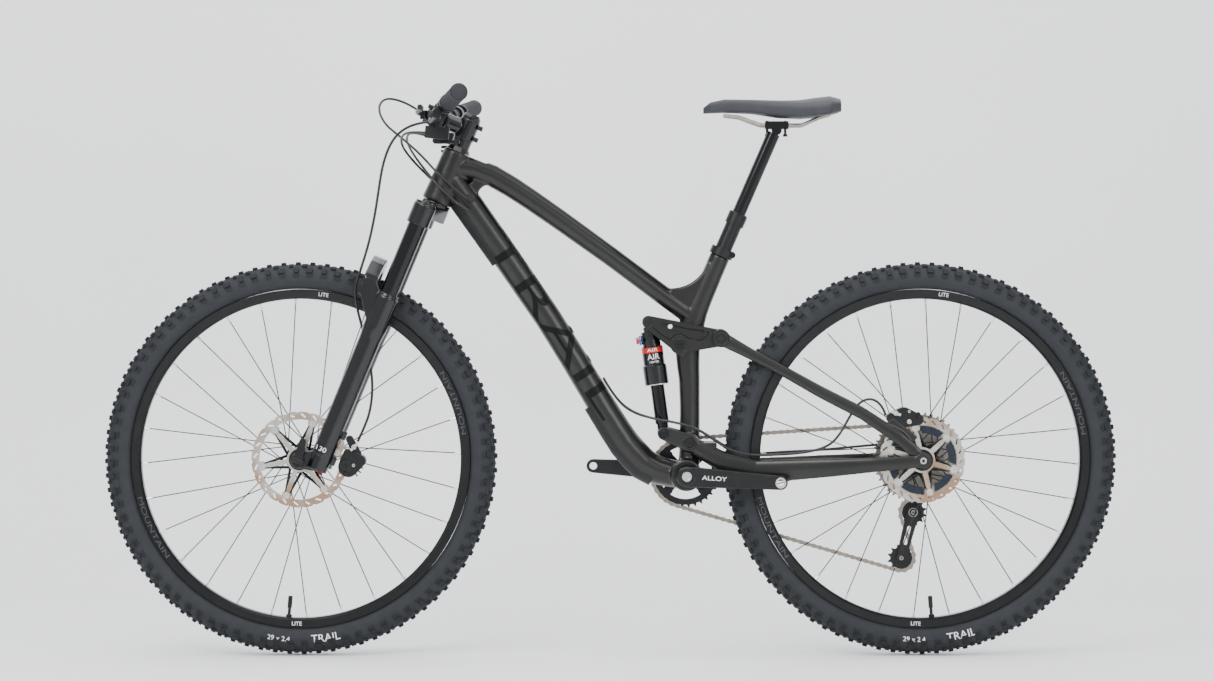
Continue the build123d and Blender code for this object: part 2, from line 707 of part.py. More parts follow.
def make_stem():
    """Stem body, face plate, and its hardware: spacers, top cap, clamp rings and bolts."""
    with BuildPart() as stem:
        steer_bar((0, 0), 128, 167, 19)
        bar(steer_point(-12, 0, 147.5), steer_point(-50, 0, 147.5), 15.5)
        across(bar_clamp, -23, 23, 22)
        across(bar_clamp, -24, 24, 15.95, mode=Mode.SUBTRACT)
        steer_bar((0, 0), 127, 168, 14.35, mode=Mode.SUBTRACT)
        with BuildSketch(fork_side(30)):
            with Locations((-stem_reach - 30, stem_height)):
                Rectangle(60, 60)
        extrude(amount=60, mode=Mode.SUBTRACT)
    save(stem.part, "stem")
    with BuildPart() as stem_hardware:
        steer_bar((0, 0), 103.5, 112, 24, end_radius=19)
        steer_bar((0, 0), 112, 127.9, 18)
        steer_bar((0, 0), 102, 130, 14.4, mode=Mode.SUBTRACT)
    with BuildPart() as top_cap:
        steer_bar((0, 0), 172.2, 178, 17, end_radius=14)
        steer_bar((0, 0), 167.2, 172.2, 18)
        steer_bar((0, 0), 167, 172.2, 14.4, mode=Mode.SUBTRACT)
        steer_bar((0, 0), 174, 179, 4.5, mode=Mode.SUBTRACT)
    with BuildPart() as bolts:
        for height in (136, 159):
            for side in (left, right):
                start = steer_point(19.5, side * 9, height)
                end = steer_point(27, side * 9, height)
                bar(start, end, 4.5)
    with BuildPart() as face_plate:
        across(bar_clamp, -23, 23, 22)
        across(bar_clamp, -24, 24, 15.95, mode=Mode.SUBTRACT)
        with BuildSketch(fork_side(30)):
            with Locations((-stem_reach + 29.4, stem_height)):
                Rectangle(60, 60)
        extrude(amount=60, mode=Mode.SUBTRACT)
        for height in (-14, 14):
            for side in (left, right):
                start = steer_point(-stem_reach - 24, side * 15, stem_height + height)
                end = steer_point(-stem_reach - 12, side * 15, stem_height + height)
                bar(start, end, 4.2)
    solids = stem_hardware.part.solids() + top_cap.part.solids() + bolts.part.solids()
    save(Compound(solids + face_plate.part.solids()), "stem_hardware")


def make_handlebar():
    """Riser-less bar: thick middle, tapers, then swept-back ends, hollow throughout."""
    with BuildPart() as handlebar:
        across(bar_clamp, -42, 42, 15.9)
        for side in (left, right):
            bar(bar_point(side, 42), bar_point(side, 80), 15.9, end_radius=11.1)
            route = [bar_point(side, 80), bar_point(side, bar_bend_y), bar_point(side, 130)]
            hose(route, [40], 11.1)
            bar(bar_point(side, 130), bar_point(side, bar_half_width), 11.1)
        across(bar_clamp, -82, 82, 9, mode=Mode.SUBTRACT)
        for side in (left, right):
            bar(bar_point(side, 90), bar_point(side, bar_half_width + 1), 9, mode=Mode.SUBTRACT)
    save(handlebar.part, "handlebar")
    with BuildPart() as grips:
        for side in (left, right):
            inner = bar_half_width - grip_length
            bar(bar_point(side, inner + 8), bar_point(side, bar_half_width + 1), 15.5)
            bar(bar_point(side, inner), bar_point(side, inner + 7), 16.5)
            bar(bar_point(side, bar_half_width + 1.2), bar_point(side, bar_half_width + 4), 16)
            bar(bar_point(side, inner - 1), bar_point(side, bar_half_width + 5), 11.1, mode=Mode.SUBTRACT)
    save(grips.part, "grips")


def make_brake_levers():
    """Brake master cylinders with bar clamps, and the two lever blades."""
    with BuildPart() as brake_masters:
        for side in (left, right):
            bar(bar_point(side, 216), bar_point(side, 230), 15.6)
            bar(control_point(side, 180, 16, 22), control_point(side, 250, 20, 18), 9.5)
            bar(control_point(side, 206, 16, 12), control_point(side, 240, 16, 12), 8.5)
            bar(control_point(side, 240, 30, 19), control_point(side, 250, 34, 19), 7)
            bar(control_point(side, 214, 0, 0), control_point(side, 232, 0, 0), 11.1, mode=Mode.SUBTRACT)
            bar(control_point(side, 236, 42, 28), control_point(side, 236, 42, 10), 15, mode=Mode.SUBTRACT)
    save(brake_masters.part, "brake_masters")
    for side, name in ((left, "brake_lever_left"), (right, "brake_lever_right")):
        with BuildPart() as brake_lever:
            points = [
                control_point(side, 236, 42, 19),
                control_point(side, 262, 58, 19),
                control_point(side, 300, 60, 20),
                control_point(side, 326, 58, 21),
                control_point(side, 345, 64, 22),
            ]
            hose(points, arc_radii(points), 4.2)
            bar(control_point(side, 236, 42, 27), control_point(side, 236, 42, 11), 7)
            bar(control_point(side, 345, 64, 22.01), control_point(side, 347, 64.7, 22.1), 5)
        save(brake_lever.part, name)


def make_shift_controls():
    """Shifter pod on the right, dropper remote pod on the left, and their three levers."""
    with BuildPart() as shift_pods:
        for side in (left, right):
            bar(bar_point(side, 167), bar_point(side, 177), 15.2)
            bar(bar_point(side, 166), bar_point(side, 178), 11.1, mode=Mode.SUBTRACT)
            with Locations(Plane(origin=control_point(side, 156, 6, 40), z_dir=(0.1, 0, 1))):
                Box(44, 34, 22)
            bar(control_point(side, 168, 4, 34), control_point(side, 173, 3, 14), 4.5)
    save(shift_pods.part, "shift_pods")
    levers = (
        ("dropper_lever", left, 57, 34.0),
        ("shift_lever", right, 57, 34.0),
        ("release_lever", right, 65, 22.0),
    )
    for name, side, drop, length in levers:
        with BuildPart() as thumb_lever:
            bar(control_point(side, 152, 4, drop - 2.5), control_point(side, 152, 4, drop + 2.5), 8)
            bar(control_point(side, 152, 4, drop), control_point(side, 160, 4 - length, drop), 3)
            with Locations(control_point(side, 160, 4 - length, drop)):
                Box(10, 22, 5)
        save(thumb_lever.part, name)


# ---------------------------------------------------------------- drive
def pitch_radius(teeth):
    """Radius of the circle that the chain's pins lie on."""
    return chain_pitch / (2 * sin(pi / teeth))


def toothed_ring(centre, y, teeth, thickness, inner_radius):
    """Chain wheel with its teeth, across the bike, centred on y."""
    on_pins = pitch_radius(teeth)
    with BuildSketch(side_plane(centre[0], y + thickness / 2, centre[1]), mode=Mode.PRIVATE) as wheel:
        Circle(on_pins - 3.6)
        with PolarLocations(on_pins - 1.2, teeth, start_angle=180 / teeth):
            Trapezoid(6.4, 5.4, 68, rotation=-90)
        if inner_radius:
            Circle(inner_radius, mode=Mode.SUBTRACT)
    extrude(wheel.sketch, amount=thickness)


def cog_y(index):
    """Side position of a cassette cog, counted from the smallest."""
    return smallest_cog_y - index * cog_step


def make_crankset():
    """Left arm, right arm with its spider and hollow spindle, and the chainring with its bolts."""
    left_tip = (
        bb[0] + crank_length * cos(radians(crank_droop)),
        bb[1] - crank_length * sin(radians(crank_droop)),
    )
    right_tip = (2 * bb[0] - left_tip[0], 2 * bb[1] - left_tip[1])
    with BuildPart() as left_arm:
        with BuildSketch(side_plane(0, -68, 0)):
            with Locations(bb):
                Circle(19)
            with Locations(left_tip):
                Circle(13)
            make_hull()
        extrude(amount=15)
        fillet(left_arm.edges(), 2.5)
        across(bb, -68.5, -51, 18)
        across(bb, -90, -50, spindle_radius, mode=Mode.SUBTRACT)
        across(left_tip, -90, -60, 7.14, mode=Mode.SUBTRACT)
    save(left_arm.part, "crank_arm_left")
    with BuildPart() as right_arm:
        with BuildSketch(side_plane(0, 83, 0)):
            with Locations(bb):
                Circle(19)
            with Locations(right_tip):
                Circle(13)
            make_hull()
        extrude(amount=15)
        fillet(right_arm.edges(), 2.5)
        across(bb, 51, 70, 19)
        with BuildSketch(side_plane(bb[0], 60.5, bb[1])):
            Circle(26)
            with PolarLocations(46, 4, start_angle=45):
                Circle(9)
            with PolarLocations(0, 4, start_angle=45):
                with Locations((24, 0)):
                    Rectangle(22, 14, align=(Align.MIN, Align.CENTER))
        extrude(amount=6.5)
        across(bb, 50, 90, spindle_radius + running_fit, mode=Mode.SUBTRACT)
        across(bb, -82, 82, spindle_radius)
        across(bb, -90, 90, 9.5, mode=Mode.SUBTRACT)
        across(right_tip, 60, 90, 7.14, mode=Mode.SUBTRACT)
    save(right_arm.part, "crank_arm_right")
    with BuildPart() as chainring:
        toothed_ring(bb, chainring_y, chainring_teeth, 1.8, 50)
        with BuildSketch(side_plane(bb[0], chainring_y + 1.8, bb[1])):
            Circle(57)
            Circle(50, mode=Mode.SUBTRACT)
            with PolarLocations(47, 4, start_angle=45):
                Circle(9)
        extrude(amount=3.6)
        with BuildSketch(side_plane(bb[0], chainring_y - 1.8, bb[1])):
            with PolarLocations(46, 4, start_angle=45):
                Circle(5)
        extrude(amount=2.5)
    save(chainring.part, "chainring")


def make_cassette():
    """Eleven cogs on the freehub body."""
    with BuildPart() as cassette:
        across(rear_axle, 22, 66, 16.5)
        for index, teeth in enumerate(cog_teeth):
            on_pins = pitch_radius(teeth)
            ring_inner = on_pins - 17 if teeth >= 24 else 0
            toothed_ring(rear_axle, cog_y(index), teeth, 1.8, ring_inner)
            if ring_inner:
                with BuildSketch(side_plane(rear_axle[0], cog_y(index) + 0.9, rear_axle[1])):
                    with PolarLocations(0, 6, start_angle=index * 9):
                        Rectangle(ring_inner + 2, 10, align=(Align.MIN, Align.CENTER))
                extrude(amount=1.8)
            if index:
                across(rear_axle, cog_y(index) + 0.8, cog_y(index - 1) - 0.8, 19)
        across(rear_axle, 20, 70, 8.5 + running_fit, mode=Mode.SUBTRACT)
    save(cassette.part, "cassette")


def tangent_points(first, first_radius, second, second_radius, crossed, upper):
    """Where a straight chain run leaves one wheel and meets the next, in the side view."""
    dx = second[0] - first[0]
    dz = second[1] - first[1]
    gap = hypot(dx, dz)
    heading = atan2(dz, dx)
    spread = first_radius + second_radius if crossed else first_radius - second_radius
    lift = acos(spread / gap) * (1 if upper else -1)
    away = heading + lift
    back = away + pi if crossed else away
    leave = (first[0] + first_radius * cos(away), first[1] + first_radius * sin(away))
    meet = (second[0] + second_radius * cos(back), second[1] + second_radius * sin(back))
    return leave, meet


def angle_of(centre, spot):
    """Angle of a point round a centre, degrees, counter-clockwise with the bike's rear at zero."""
    return degrees(atan2(spot[1] - centre[1], spot[0] - centre[0]))


def chain_plate(low, high):
    """One row of plates along a run: in line with each wheel at its ends, slanted between them."""
    along = Vector(high.X - low.X, 0, high.Z - low.Z).normalized()
    lead = 34 if low.Y != high.Y else 0.25 * (high - low).length
    stops = [low, low + along * lead, high - along * lead, high]
    for near, far in zip(stops, stops[1:]):
        run = far - near
        place = Plane(origin=near, x_dir=Vector(0, 1, 0).cross(run).normalized(), z_dir=run.normalized())
        with Locations(place):
            Box(8, 1.3, run.length, align=(Align.CENTER, Align.CENTER, Align.MIN))


def make_chain():
    """Chain as its two rows of side plates, along straight runs and round four wheels."""
    rear_y = cog_y(chain_cog)
    ring = pitch_radius(chainring_teeth)
    cog = pitch_radius(cog_teeth[chain_cog])
    small = pitch_radius(pulley_teeth)
    top = tangent_points(bb, ring, rear_axle, cog, False, True)
    down = tangent_points(rear_axle, cog, guide_pulley_at, small, True, True)
    between = tangent_points(guide_pulley_at, small, tension_pulley_at, small, True, False)
    under = tangent_points(tension_pulley_at, small, bb, ring, False, True)
    wraps = (
        (bb, ring, top[0], under[1], chainring_y),
        (rear_axle, cog, down[0], top[1], rear_y),
        (guide_pulley_at, small, down[1], between[0], rear_y),
        (tension_pulley_at, small, under[0], between[1], rear_y),
    )
    runs = (
        (top, chainring_y, rear_y),
        (down, rear_y, rear_y),
        (between, rear_y, rear_y),
        (under, rear_y, chainring_y),
    )
    with BuildPart() as chain:
        for inner_face in (-2.6, 1.3):
            for centre, radius, start, end, y in wraps:
                start_angle = angle_of(centre, start)
                sweep_angle = (angle_of(centre, end) - start_angle) % 360
                with BuildSketch(side_plane(centre[0], y + inner_face + 1.3, centre[1])):
                    with BuildLine():
                        outer = CenterArc((0, 0), radius + 4, start_angle, sweep_angle)
                        inner = CenterArc((0, 0), radius - 4, start_angle, sweep_angle)
                        Line(outer @ 0, inner @ 0)
                        Line(outer @ 1, inner @ 1)
                    make_face()
                extrude(amount=1.3)
            for (start, end), start_y, end_y in runs:
                low = Vector(start[0], start_y + inner_face + 0.65, start[1])
                high = Vector(end[0], end_y + inner_face + 0.65, end[1])
                chain_plate(low, high)
    save(chain.part, "chain")


def make_pulleys():
    """Derailleur cage with its two pulleys."""
    rear_y = cog_y(chain_cog)
    for spot, name in ((guide_pulley_at, "guide_pulley"), (tension_pulley_at, "tension_pulley")):
        with BuildPart() as pulley:
            toothed_ring(spot, rear_y, pulley_teeth, 2.0, 0)
            across(spot, rear_y - 3.5, rear_y + 3.5, 5.5)
            across(spot, rear_y - 5, rear_y + 5, 2.5 + running_fit, mode=Mode.SUBTRACT)
        save(pulley.part, name)
    with BuildPart() as derailleur_cage:
        for y_from, thickness in ((39.5, 1.6), (29.0, 1.4)):
            with BuildSketch(side_plane(0, y_from, 0)):
                with Locations(guide_pulley_at):
                    Circle(12)
                with Locations(tension_pulley_at):
                    Circle(9)
                make_hull()
                with Locations(((guide_pulley_at[0] + tension_pulley_at[0]) / 2, 222)):
                    SlotOverall(38, 8, rotation=76, mode=Mode.SUBTRACT)
            extrude(amount=thickness)
        for spot in (guide_pulley_at, tension_pulley_at):
            across(spot, 27.6, 39.5, 2.5)
    save(derailleur_cage.part, "derailleur_cage")
    with BuildPart() as derailleur_body:
        across((594, 334), 62, 80.6, 11)
        across((594, 334), 80.6, 88, 4)
        across(guide_pulley_at, 40.1, 57, 14)
        tube_loft([
            (596, 70, 330, 24, 20),
            (592, 62, 308, 22, 20),
            (582, 53, 286, 22, 18),
            (574, 49, 270, 20, 14),
        ])
    save(derailleur_body.part, "derailleur_body")


# ---------------------------------------------------------------- rear suspension
def mirrored(sections, side):
    """Stay sections for one side of the bike."""
    return [(x, side * y, z, depth, width) for x, y, z, depth, width in sections]


chainstay_arm = [
    (158, 31.5, 393, 30, 10),
    (206, 37.5, 366, 36, 10),
    (270, 43, 348, 42, 10),
    (330, 52, 350.5, 40, 11),
    (410, 65, 356, 35, 11),
    (490, 77, 362, 28, 9),
    (556, 83.8, 367, 25, 5.6),
    (574, 83.8, 369, 23, 5.4),
]
seatstay_arm = [
    (212, 35.3, 594, 27, 9),
    (262, 37.5, 567, 21, 9),
    (318, 42, 538, 20, 11),
    (393, 51, 496, 22, 12),
    (472, 62, 455.5, 23, 11),
    (537, 72.5, 412, 25, 8),
    (565, 77.3, 387, 24, 5.6),
    (576, 77.3, 377, 22, 5.4),
]


def make_chainstay():
    """Chainstay: two arms, the yoke behind the seat tube, and the forward plates that drive the shock."""
    with BuildPart() as chainstay:
        for side in (left, right):
            tube_loft(mirrored(chainstay_arm, side))
            across(rear_axle, *sorted((side * 80.8, side * 86.8)), 15)
            with BuildSketch(side_plane(0, -26.5 if side == left else 36.5, 0)):
                with Locations(main_pivot):
                    Circle(17)
                with Locations(shock_bottom):
                    Circle(12)
                make_hull()
            extrude(amount=10)
            across(shock_bottom, *sorted((side * 11.6, side * 27)), 9.5)
            across(shock_bottom, *sorted((side * 36.4, side * 38.5)), 7)
        with Locations((187, 0, 388)):
            Box(24, 72, 26)
        with BuildSketch(side_plane(0, 86.8, 0)):
            with Locations(rear_axle):
                Circle(14)
            with Locations((594, 334)):
                Circle(8)
            make_hull()
        extrude(amount=6)
        across((594, 334), 80, 90, 4, mode=Mode.SUBTRACT)
        across(main_pivot, -40, 40, 7.5 + running_fit, mode=Mode.SUBTRACT)
        across(rear_axle, -90, 90, 6, mode=Mode.SUBTRACT)
    save(chainstay.part, "chainstay")
    with BuildPart() as rear_axle_bar:
        across(rear_axle, -87.4, 88, 6)
        across(rear_axle, 86.9, 91, 9)
        across(rear_axle, -90, 92, 3.2, mode=Mode.SUBTRACT)
    save(rear_axle_bar.part, "rear_axle")


def make_seatstay():
    """Seatstay: two arms joined by a bridge, with pivot bosses at both ends."""
    with BuildPart() as seatstay:
        for side in (left, right):
            tube_loft(mirrored(seatstay_arm, side))
            across(stay_pivot, *sorted((side * 30.6, side * 40)), 17)
            across(stay_pivot, *sorted((side * 39.9, side * 41.5)), 8)
            across(rear_axle, *sorted((side * 74.4, side * 80.3)), 15)
        bar((246, -38, 576), (246, 38, 576), 9)
        across(rear_axle, -82, 82, 6 + running_fit, mode=Mode.SUBTRACT)
        with BuildSketch(side_plane(0, -63.5, 0)):
            with BuildLine():
                Polyline((508, 434), (560, 398), (572, 414), (526, 450), (508, 434))
            make_face()
        extrude(amount=7)
        across(rear_axle, -73.9, 73.9, 19, mode=Mode.SUBTRACT)
    save(seatstay.part, "seatstay")
    with BuildPart() as rear_caliper:
        with BuildSketch(side_plane(0, -47, 0)):
            with Locations((546, 450)):
                Circle(19)
            with Locations((572, 446)):
                Circle(11)
            with Locations((524, 449)):
                Circle(10)
            make_hull()
        extrude(amount=24)
        with BuildSketch(side_plane(rear_axle[0], -46, rear_axle[1])):
            Circle(62)
        extrude(amount=40, mode=Mode.SUBTRACT)
        across(rear_axle, -61.6, -55.8, rear_rotor_radius + 3, mode=Mode.SUBTRACT)
        add(seatstay.part, mode=Mode.SUBTRACT)
    save(keep_large(rear_caliper.part, 500), "rear_caliper")


def make_rocker():
    """Rocker link: two plates, a bridge, and the upper shock mount's bosses."""
    with BuildPart() as rocker:
        for side in (left, right):
            outer_y = -20 if side == left else 30
            with BuildSketch(side_plane(0, outer_y, 0)):
                with Locations(shock_top):
                    Circle(12)
                with Locations(rocker_pivot):
                    Circle(16)
                with Locations(stay_pivot):
                    Circle(15)
                make_hull()
            extrude(amount=10)
            pocket_y = -27 if side == left else 31
            with BuildSketch(side_plane(0, pocket_y, 0)):
                with BuildLine():
                    Polyline((94, 625), (176, 611), (172, 596), (150, 594), (128, 606), (104, 612), (94, 625))
                make_face()
            extrude(amount=4, mode=Mode.SUBTRACT)
            across(shock_top, *sorted((side * 11.5, side * 20.5)), 8.5)
        bar((96, -25, 628), (96, 25, 628), 5)
        across((112, 618), -40, 40, 4.5, mode=Mode.SUBTRACT)
        across(rocker_pivot, -40, 40, 6 + running_fit, mode=Mode.SUBTRACT)
        across(shock_top, -31.5, 31.5, 5)
    save(rocker.part, "rocker")


def shock_point(reach, ahead=0.0):
    """A point on the shock's axis, from its upper eye; ahead is square to it, forward."""
    length = hypot(shock_bottom[0] - shock_top[0], shock_bottom[1] - shock_top[1])
    ux = (shock_bottom[0] - shock_top[0]) / length
    uz = (shock_bottom[1] - shock_top[1]) / length
    return (shock_top[0] + ux * reach + uz * ahead, 0, shock_top[1] + uz * reach - ux * ahead)


def make_shock():
    """Air shock: head with air can, lower tube with its eye, compression lever and rebound knob."""
    with BuildPart() as shock_can:
        across(shock_top, -11, 11, 11)
        bar(shock_point(9), shock_point(22), 12)
        bar(shock_point(18), shock_point(46), 17)
        bar(shock_point(46), shock_point(81), 19.8)
        bar(shock_point(81), shock_point(118), 22.5)
        chamfer(shock_can.edges().filter_by(GeomType.CIRCLE).filter_by(lambda e: e.radius > 19), 1.2)
        bar(shock_point(50), shock_point(119), 13 + running_fit, mode=Mode.SUBTRACT)
        across(shock_top, -12, 12, 5 + running_fit, mode=Mode.SUBTRACT)
        bar(shock_point(32, 10), shock_point(32, 18.5), 8.5)
        bar(shock_point(32, 14), shock_point(32, 19), 2.5, mode=Mode.SUBTRACT)
    save(shock_can.part, "shock_can")
    with BuildPart() as shock_shaft:
        bar(shock_point(108), shock_point(192), 13)
        bar(shock_point(192), shock_point(203), 10.5)
        bar(shock_point(107), shock_point(190), 10.5, mode=Mode.SUBTRACT)
        across(shock_bottom, -11, 11, 11)
        across(shock_bottom, -12, 12, 6, mode=Mode.SUBTRACT)
    save(shock_shaft.part, "shock_shaft")
    with BuildPart() as shock_lever:
        bar(shock_point(32, 18.8), shock_point(32, 22.5), 9)
        with BuildSketch(Plane(origin=shock_point(32, 18.8), x_dir=(0, 1, 0), z_dir=shock_forward())):
            with Locations((-12, 0)):
                Rectangle(12, 6)
        extrude(amount=3.7)
        bar(shock_point(32, 18), shock_point(32, 23), 2 + running_fit, mode=Mode.SUBTRACT)
    save(shock_lever.part, "shock_lever")
    with BuildPart() as shock_knob:
        bar(shock_point(32, 14.5), shock_point(32, 23), 2)
        bar(shock_point(32, 22.8), shock_point(32, 28), 6)
    save(shock_knob.part, "shock_knob")


def shock_forward():
    """Direction square to the shock, forward."""
    near = Vector(*shock_point(0, 0))
    far = Vector(*shock_point(0, 1))
    return tuple((far - near).normalized())


# ---------------------------------------------------------------- hoses, along their middle lines
front_brake_route = [
    (-322, -176, 997),
    (-352, -168, 995),
    (-385, -152, 981),
    (-406, -136, 957),
    (-421, -118, 918),
    (-429, -104, 872),
    (-437, -93, 824),
    (-449, -82, 772),
    (-466.5, -62, 721),
    (-478, -47, 689),
    (-474, -40.5, 655),
    (-465, -39.5, 620),
    (-455, -39.5, 580),
    (-447, -42, 540),
    (-444, -46, 500),
    (-449, -50, 458),
    (-462, -51, 425),
    (-471.8, -49.4, 405.3),
]
rear_brake_bar_route = [
    (-330, 178, 1002),
    (-362, 172, 1026),
    (-398, 158, 1047),
    (-431, 130, 1053),
    (-443, 96, 1032),
    (-428, 58, 1000),
    (-396, 18, 975),
    (-358, -18, 943),
    (-327, -38, 909),
    (-298, -40, 881),
    (-272, -32, 860),
]
derailleur_bar_route = [
    (-341, 150, 977),
    (-364, 122, 984),
    (-384, 84, 984),
    (-386, 44, 968),
    (-370, 6, 940),
    (-343, -24, 906),
    (-314, -39, 872),
    (-288, -41, 850),
    (-268, -32, 838),
]
dropper_bar_route = [
    (-341, -150, 977),
    (-366, -122, 980),
    (-388, -84, 975),
    (-390, -46, 956),
    (-372, -6, 930),
    (-345, 24, 902),
    (-316, 39, 873),
    (-290, 40, 853),
    (-268, 32, 842),
]
rear_brake_route = [
    (-13.5, -8, 522),
    (6, -11, 488),
    (36, -17, 460),
    (78, -26, 446),
    (120, -42, 440),
    (158, -46, 430),
    (192, -47, 408),
    (222, -48, 388),
    (262, -49, 378),
    (316, -55, 380),
    (366, -60, 384),
    (408, -58, 396),
    (430, -50, 420),
    (446, -46, 450),
    (464, -47, 478),
    (488, -53, 486),
    (508, -58, 470),
    (512.6, -58.9, 454.4),
]
derailleur_route = [
    (-8, 8, 512),
    (12, 11, 478),
    (44, 17, 454),
    (84, 26, 443),
    (122, 39, 436),
    (158, 41.3, 427),
    (190, 41.3, 408),
    (224, 44, 386),
    (266, 49, 375),
    (322, 58, 379),
    (386, 71, 381),
    (450, 84, 386),
    (516, 92, 392),
    (572, 98, 392),
    (616, 98, 374),
    (628, 91, 346),
    (609, 80, 331),
]


def make_hose(routes, radius, name):
    """One node of hoses, each an arc-cornered tube along its route."""
    with BuildPart() as hoses:
        for route in routes:
            radii = arc_radii(route)
            length = hose(route, radii, radius)
            print(name, "length", round(length), "least radius", round(min(radii)))
    save(hoses.part, name)


# ---------------------------------------------------------------- build
front_flanges = ((-22, 24), (36, 24))
rear_flanges = ((-33, 24), (18.5, 27))
front_hub_line = (
    (-54.9, 9.5), (-46, 9.5), (-46, 20), (-42.1, 20), (-42.1, 17.2), (-37, 17.2), (-37, 20), (-25, 22),
    (-18, 20), (-8, 13.5), (22, 13.5), (33, 20), (39, 20), (43, 12), (54.9, 9.5),
)
rear_hub_line = (
    (-73.9, 9), (-64.5, 9), (-64.5, 20), (-61.1, 20), (-61.1, 17.2), (-56, 17.2), (-56, 18), (-38, 20),
    (-29, 20), (-20, 15), (8, 15), (14, 23), (21.7, 23), (21.7, 8.5), (73.9, 8.5),
)
front_valve_angle = -94.6
rear_valve_angle = -85.6

frame_part = make_main_frame()
make_frame_guards(frame_part)
make_frame_bearings()
make_seat_clamp()
make_dropper()
make_saddle()
make_tyre(front_axle, "front_tyre")
make_tyre(rear_axle, "rear_tyre")
make_rim(front_axle, front_valve_angle, "front_rim")
make_rim(rear_axle, rear_valve_angle, "rear_rim")
make_spokes(front_axle, front_valve_angle, front_flanges, "front_spokes")
make_spokes(rear_axle, rear_valve_angle, rear_flanges, "rear_spokes")
make_hub(front_axle, front_hub_line, 7.5, front_flanges, "front_hub")
make_hub(rear_axle, rear_hub_line, 6, rear_flanges, "rear_hub")
make_rotor(front_axle, front_rotor_y, front_rotor_radius, 10, "front_rotor")
make_rotor(rear_axle, rear_rotor_y, rear_rotor_radius, 43, "rear_rotor")
make_fork_crown()
make_fork_lowers()
make_front_axle()
make_front_caliper()
make_stem()
make_handlebar()
make_brake_levers()
make_shift_controls()
make_crankset()
make_cassette()
make_chain()
make_pulleys()
make_chainstay()
make_seatstay()
make_rocker()
make_shock()
make_hose([front_brake_route], 2.5, "front_brake_hose")
make_hose([rear_brake_bar_route, derailleur_bar_route, dropper_bar_route], 2.3, "bar_hoses")
make_hose([rear_brake_route, derailleur_route], 2.4, "rear_hoses")
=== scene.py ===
from math import asin, atan2, cos, degrees, hypot, pi, radians, sin

import bmesh
import bpy
import numpy as np
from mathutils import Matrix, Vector
from mathutils.bvhtree import BVHTree


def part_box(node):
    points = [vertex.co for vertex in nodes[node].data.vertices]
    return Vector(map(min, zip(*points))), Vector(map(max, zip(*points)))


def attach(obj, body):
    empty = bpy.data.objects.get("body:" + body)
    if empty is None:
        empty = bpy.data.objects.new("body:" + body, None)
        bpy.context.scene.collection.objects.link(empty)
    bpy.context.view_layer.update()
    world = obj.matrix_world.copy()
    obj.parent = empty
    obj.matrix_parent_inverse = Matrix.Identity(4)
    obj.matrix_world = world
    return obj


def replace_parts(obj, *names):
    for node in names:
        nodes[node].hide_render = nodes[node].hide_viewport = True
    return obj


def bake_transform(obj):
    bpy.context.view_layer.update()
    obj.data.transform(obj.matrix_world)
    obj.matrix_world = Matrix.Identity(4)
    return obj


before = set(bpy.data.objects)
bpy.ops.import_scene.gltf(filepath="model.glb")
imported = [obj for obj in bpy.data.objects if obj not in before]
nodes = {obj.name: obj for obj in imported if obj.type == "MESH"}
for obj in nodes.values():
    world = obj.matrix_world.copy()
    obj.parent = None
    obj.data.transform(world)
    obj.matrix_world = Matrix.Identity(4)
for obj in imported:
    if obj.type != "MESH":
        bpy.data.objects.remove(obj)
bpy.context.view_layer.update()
left, right = -1, 1


# ---------------------------------------------------------------- measurements read from the frame
def middle(node):
    """Middle of a CAD node's box."""
    low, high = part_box(node)
    return (low + high) / 2


def extent(node):
    """Size of a CAD node's box."""
    low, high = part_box(node)
    return high - low


front_axle = middle("front_rim")
rear_axle = middle("rear_rim")
tyre_radius = extent("front_tyre").z / 2
rim_radius = extent("front_rim").z / 2


def show(name, data):
    """A new object in the scene."""
    made = bpy.data.objects.new(name, data)
    bpy.context.scene.collection.objects.link(made)
    return made


# ---------------------------------------------------------------- materials
def add_node(tree, kind, **sizes):
    """A shader node with its number inputs set."""
    made = tree.nodes.new("ShaderNode" + kind)
    for socket, size in sizes.items():
        made.inputs[socket.replace("_", " ")].default_value = size
    return made


coat_rough = 0.08
grain_depth = 0.0006
least_rough = 0.02


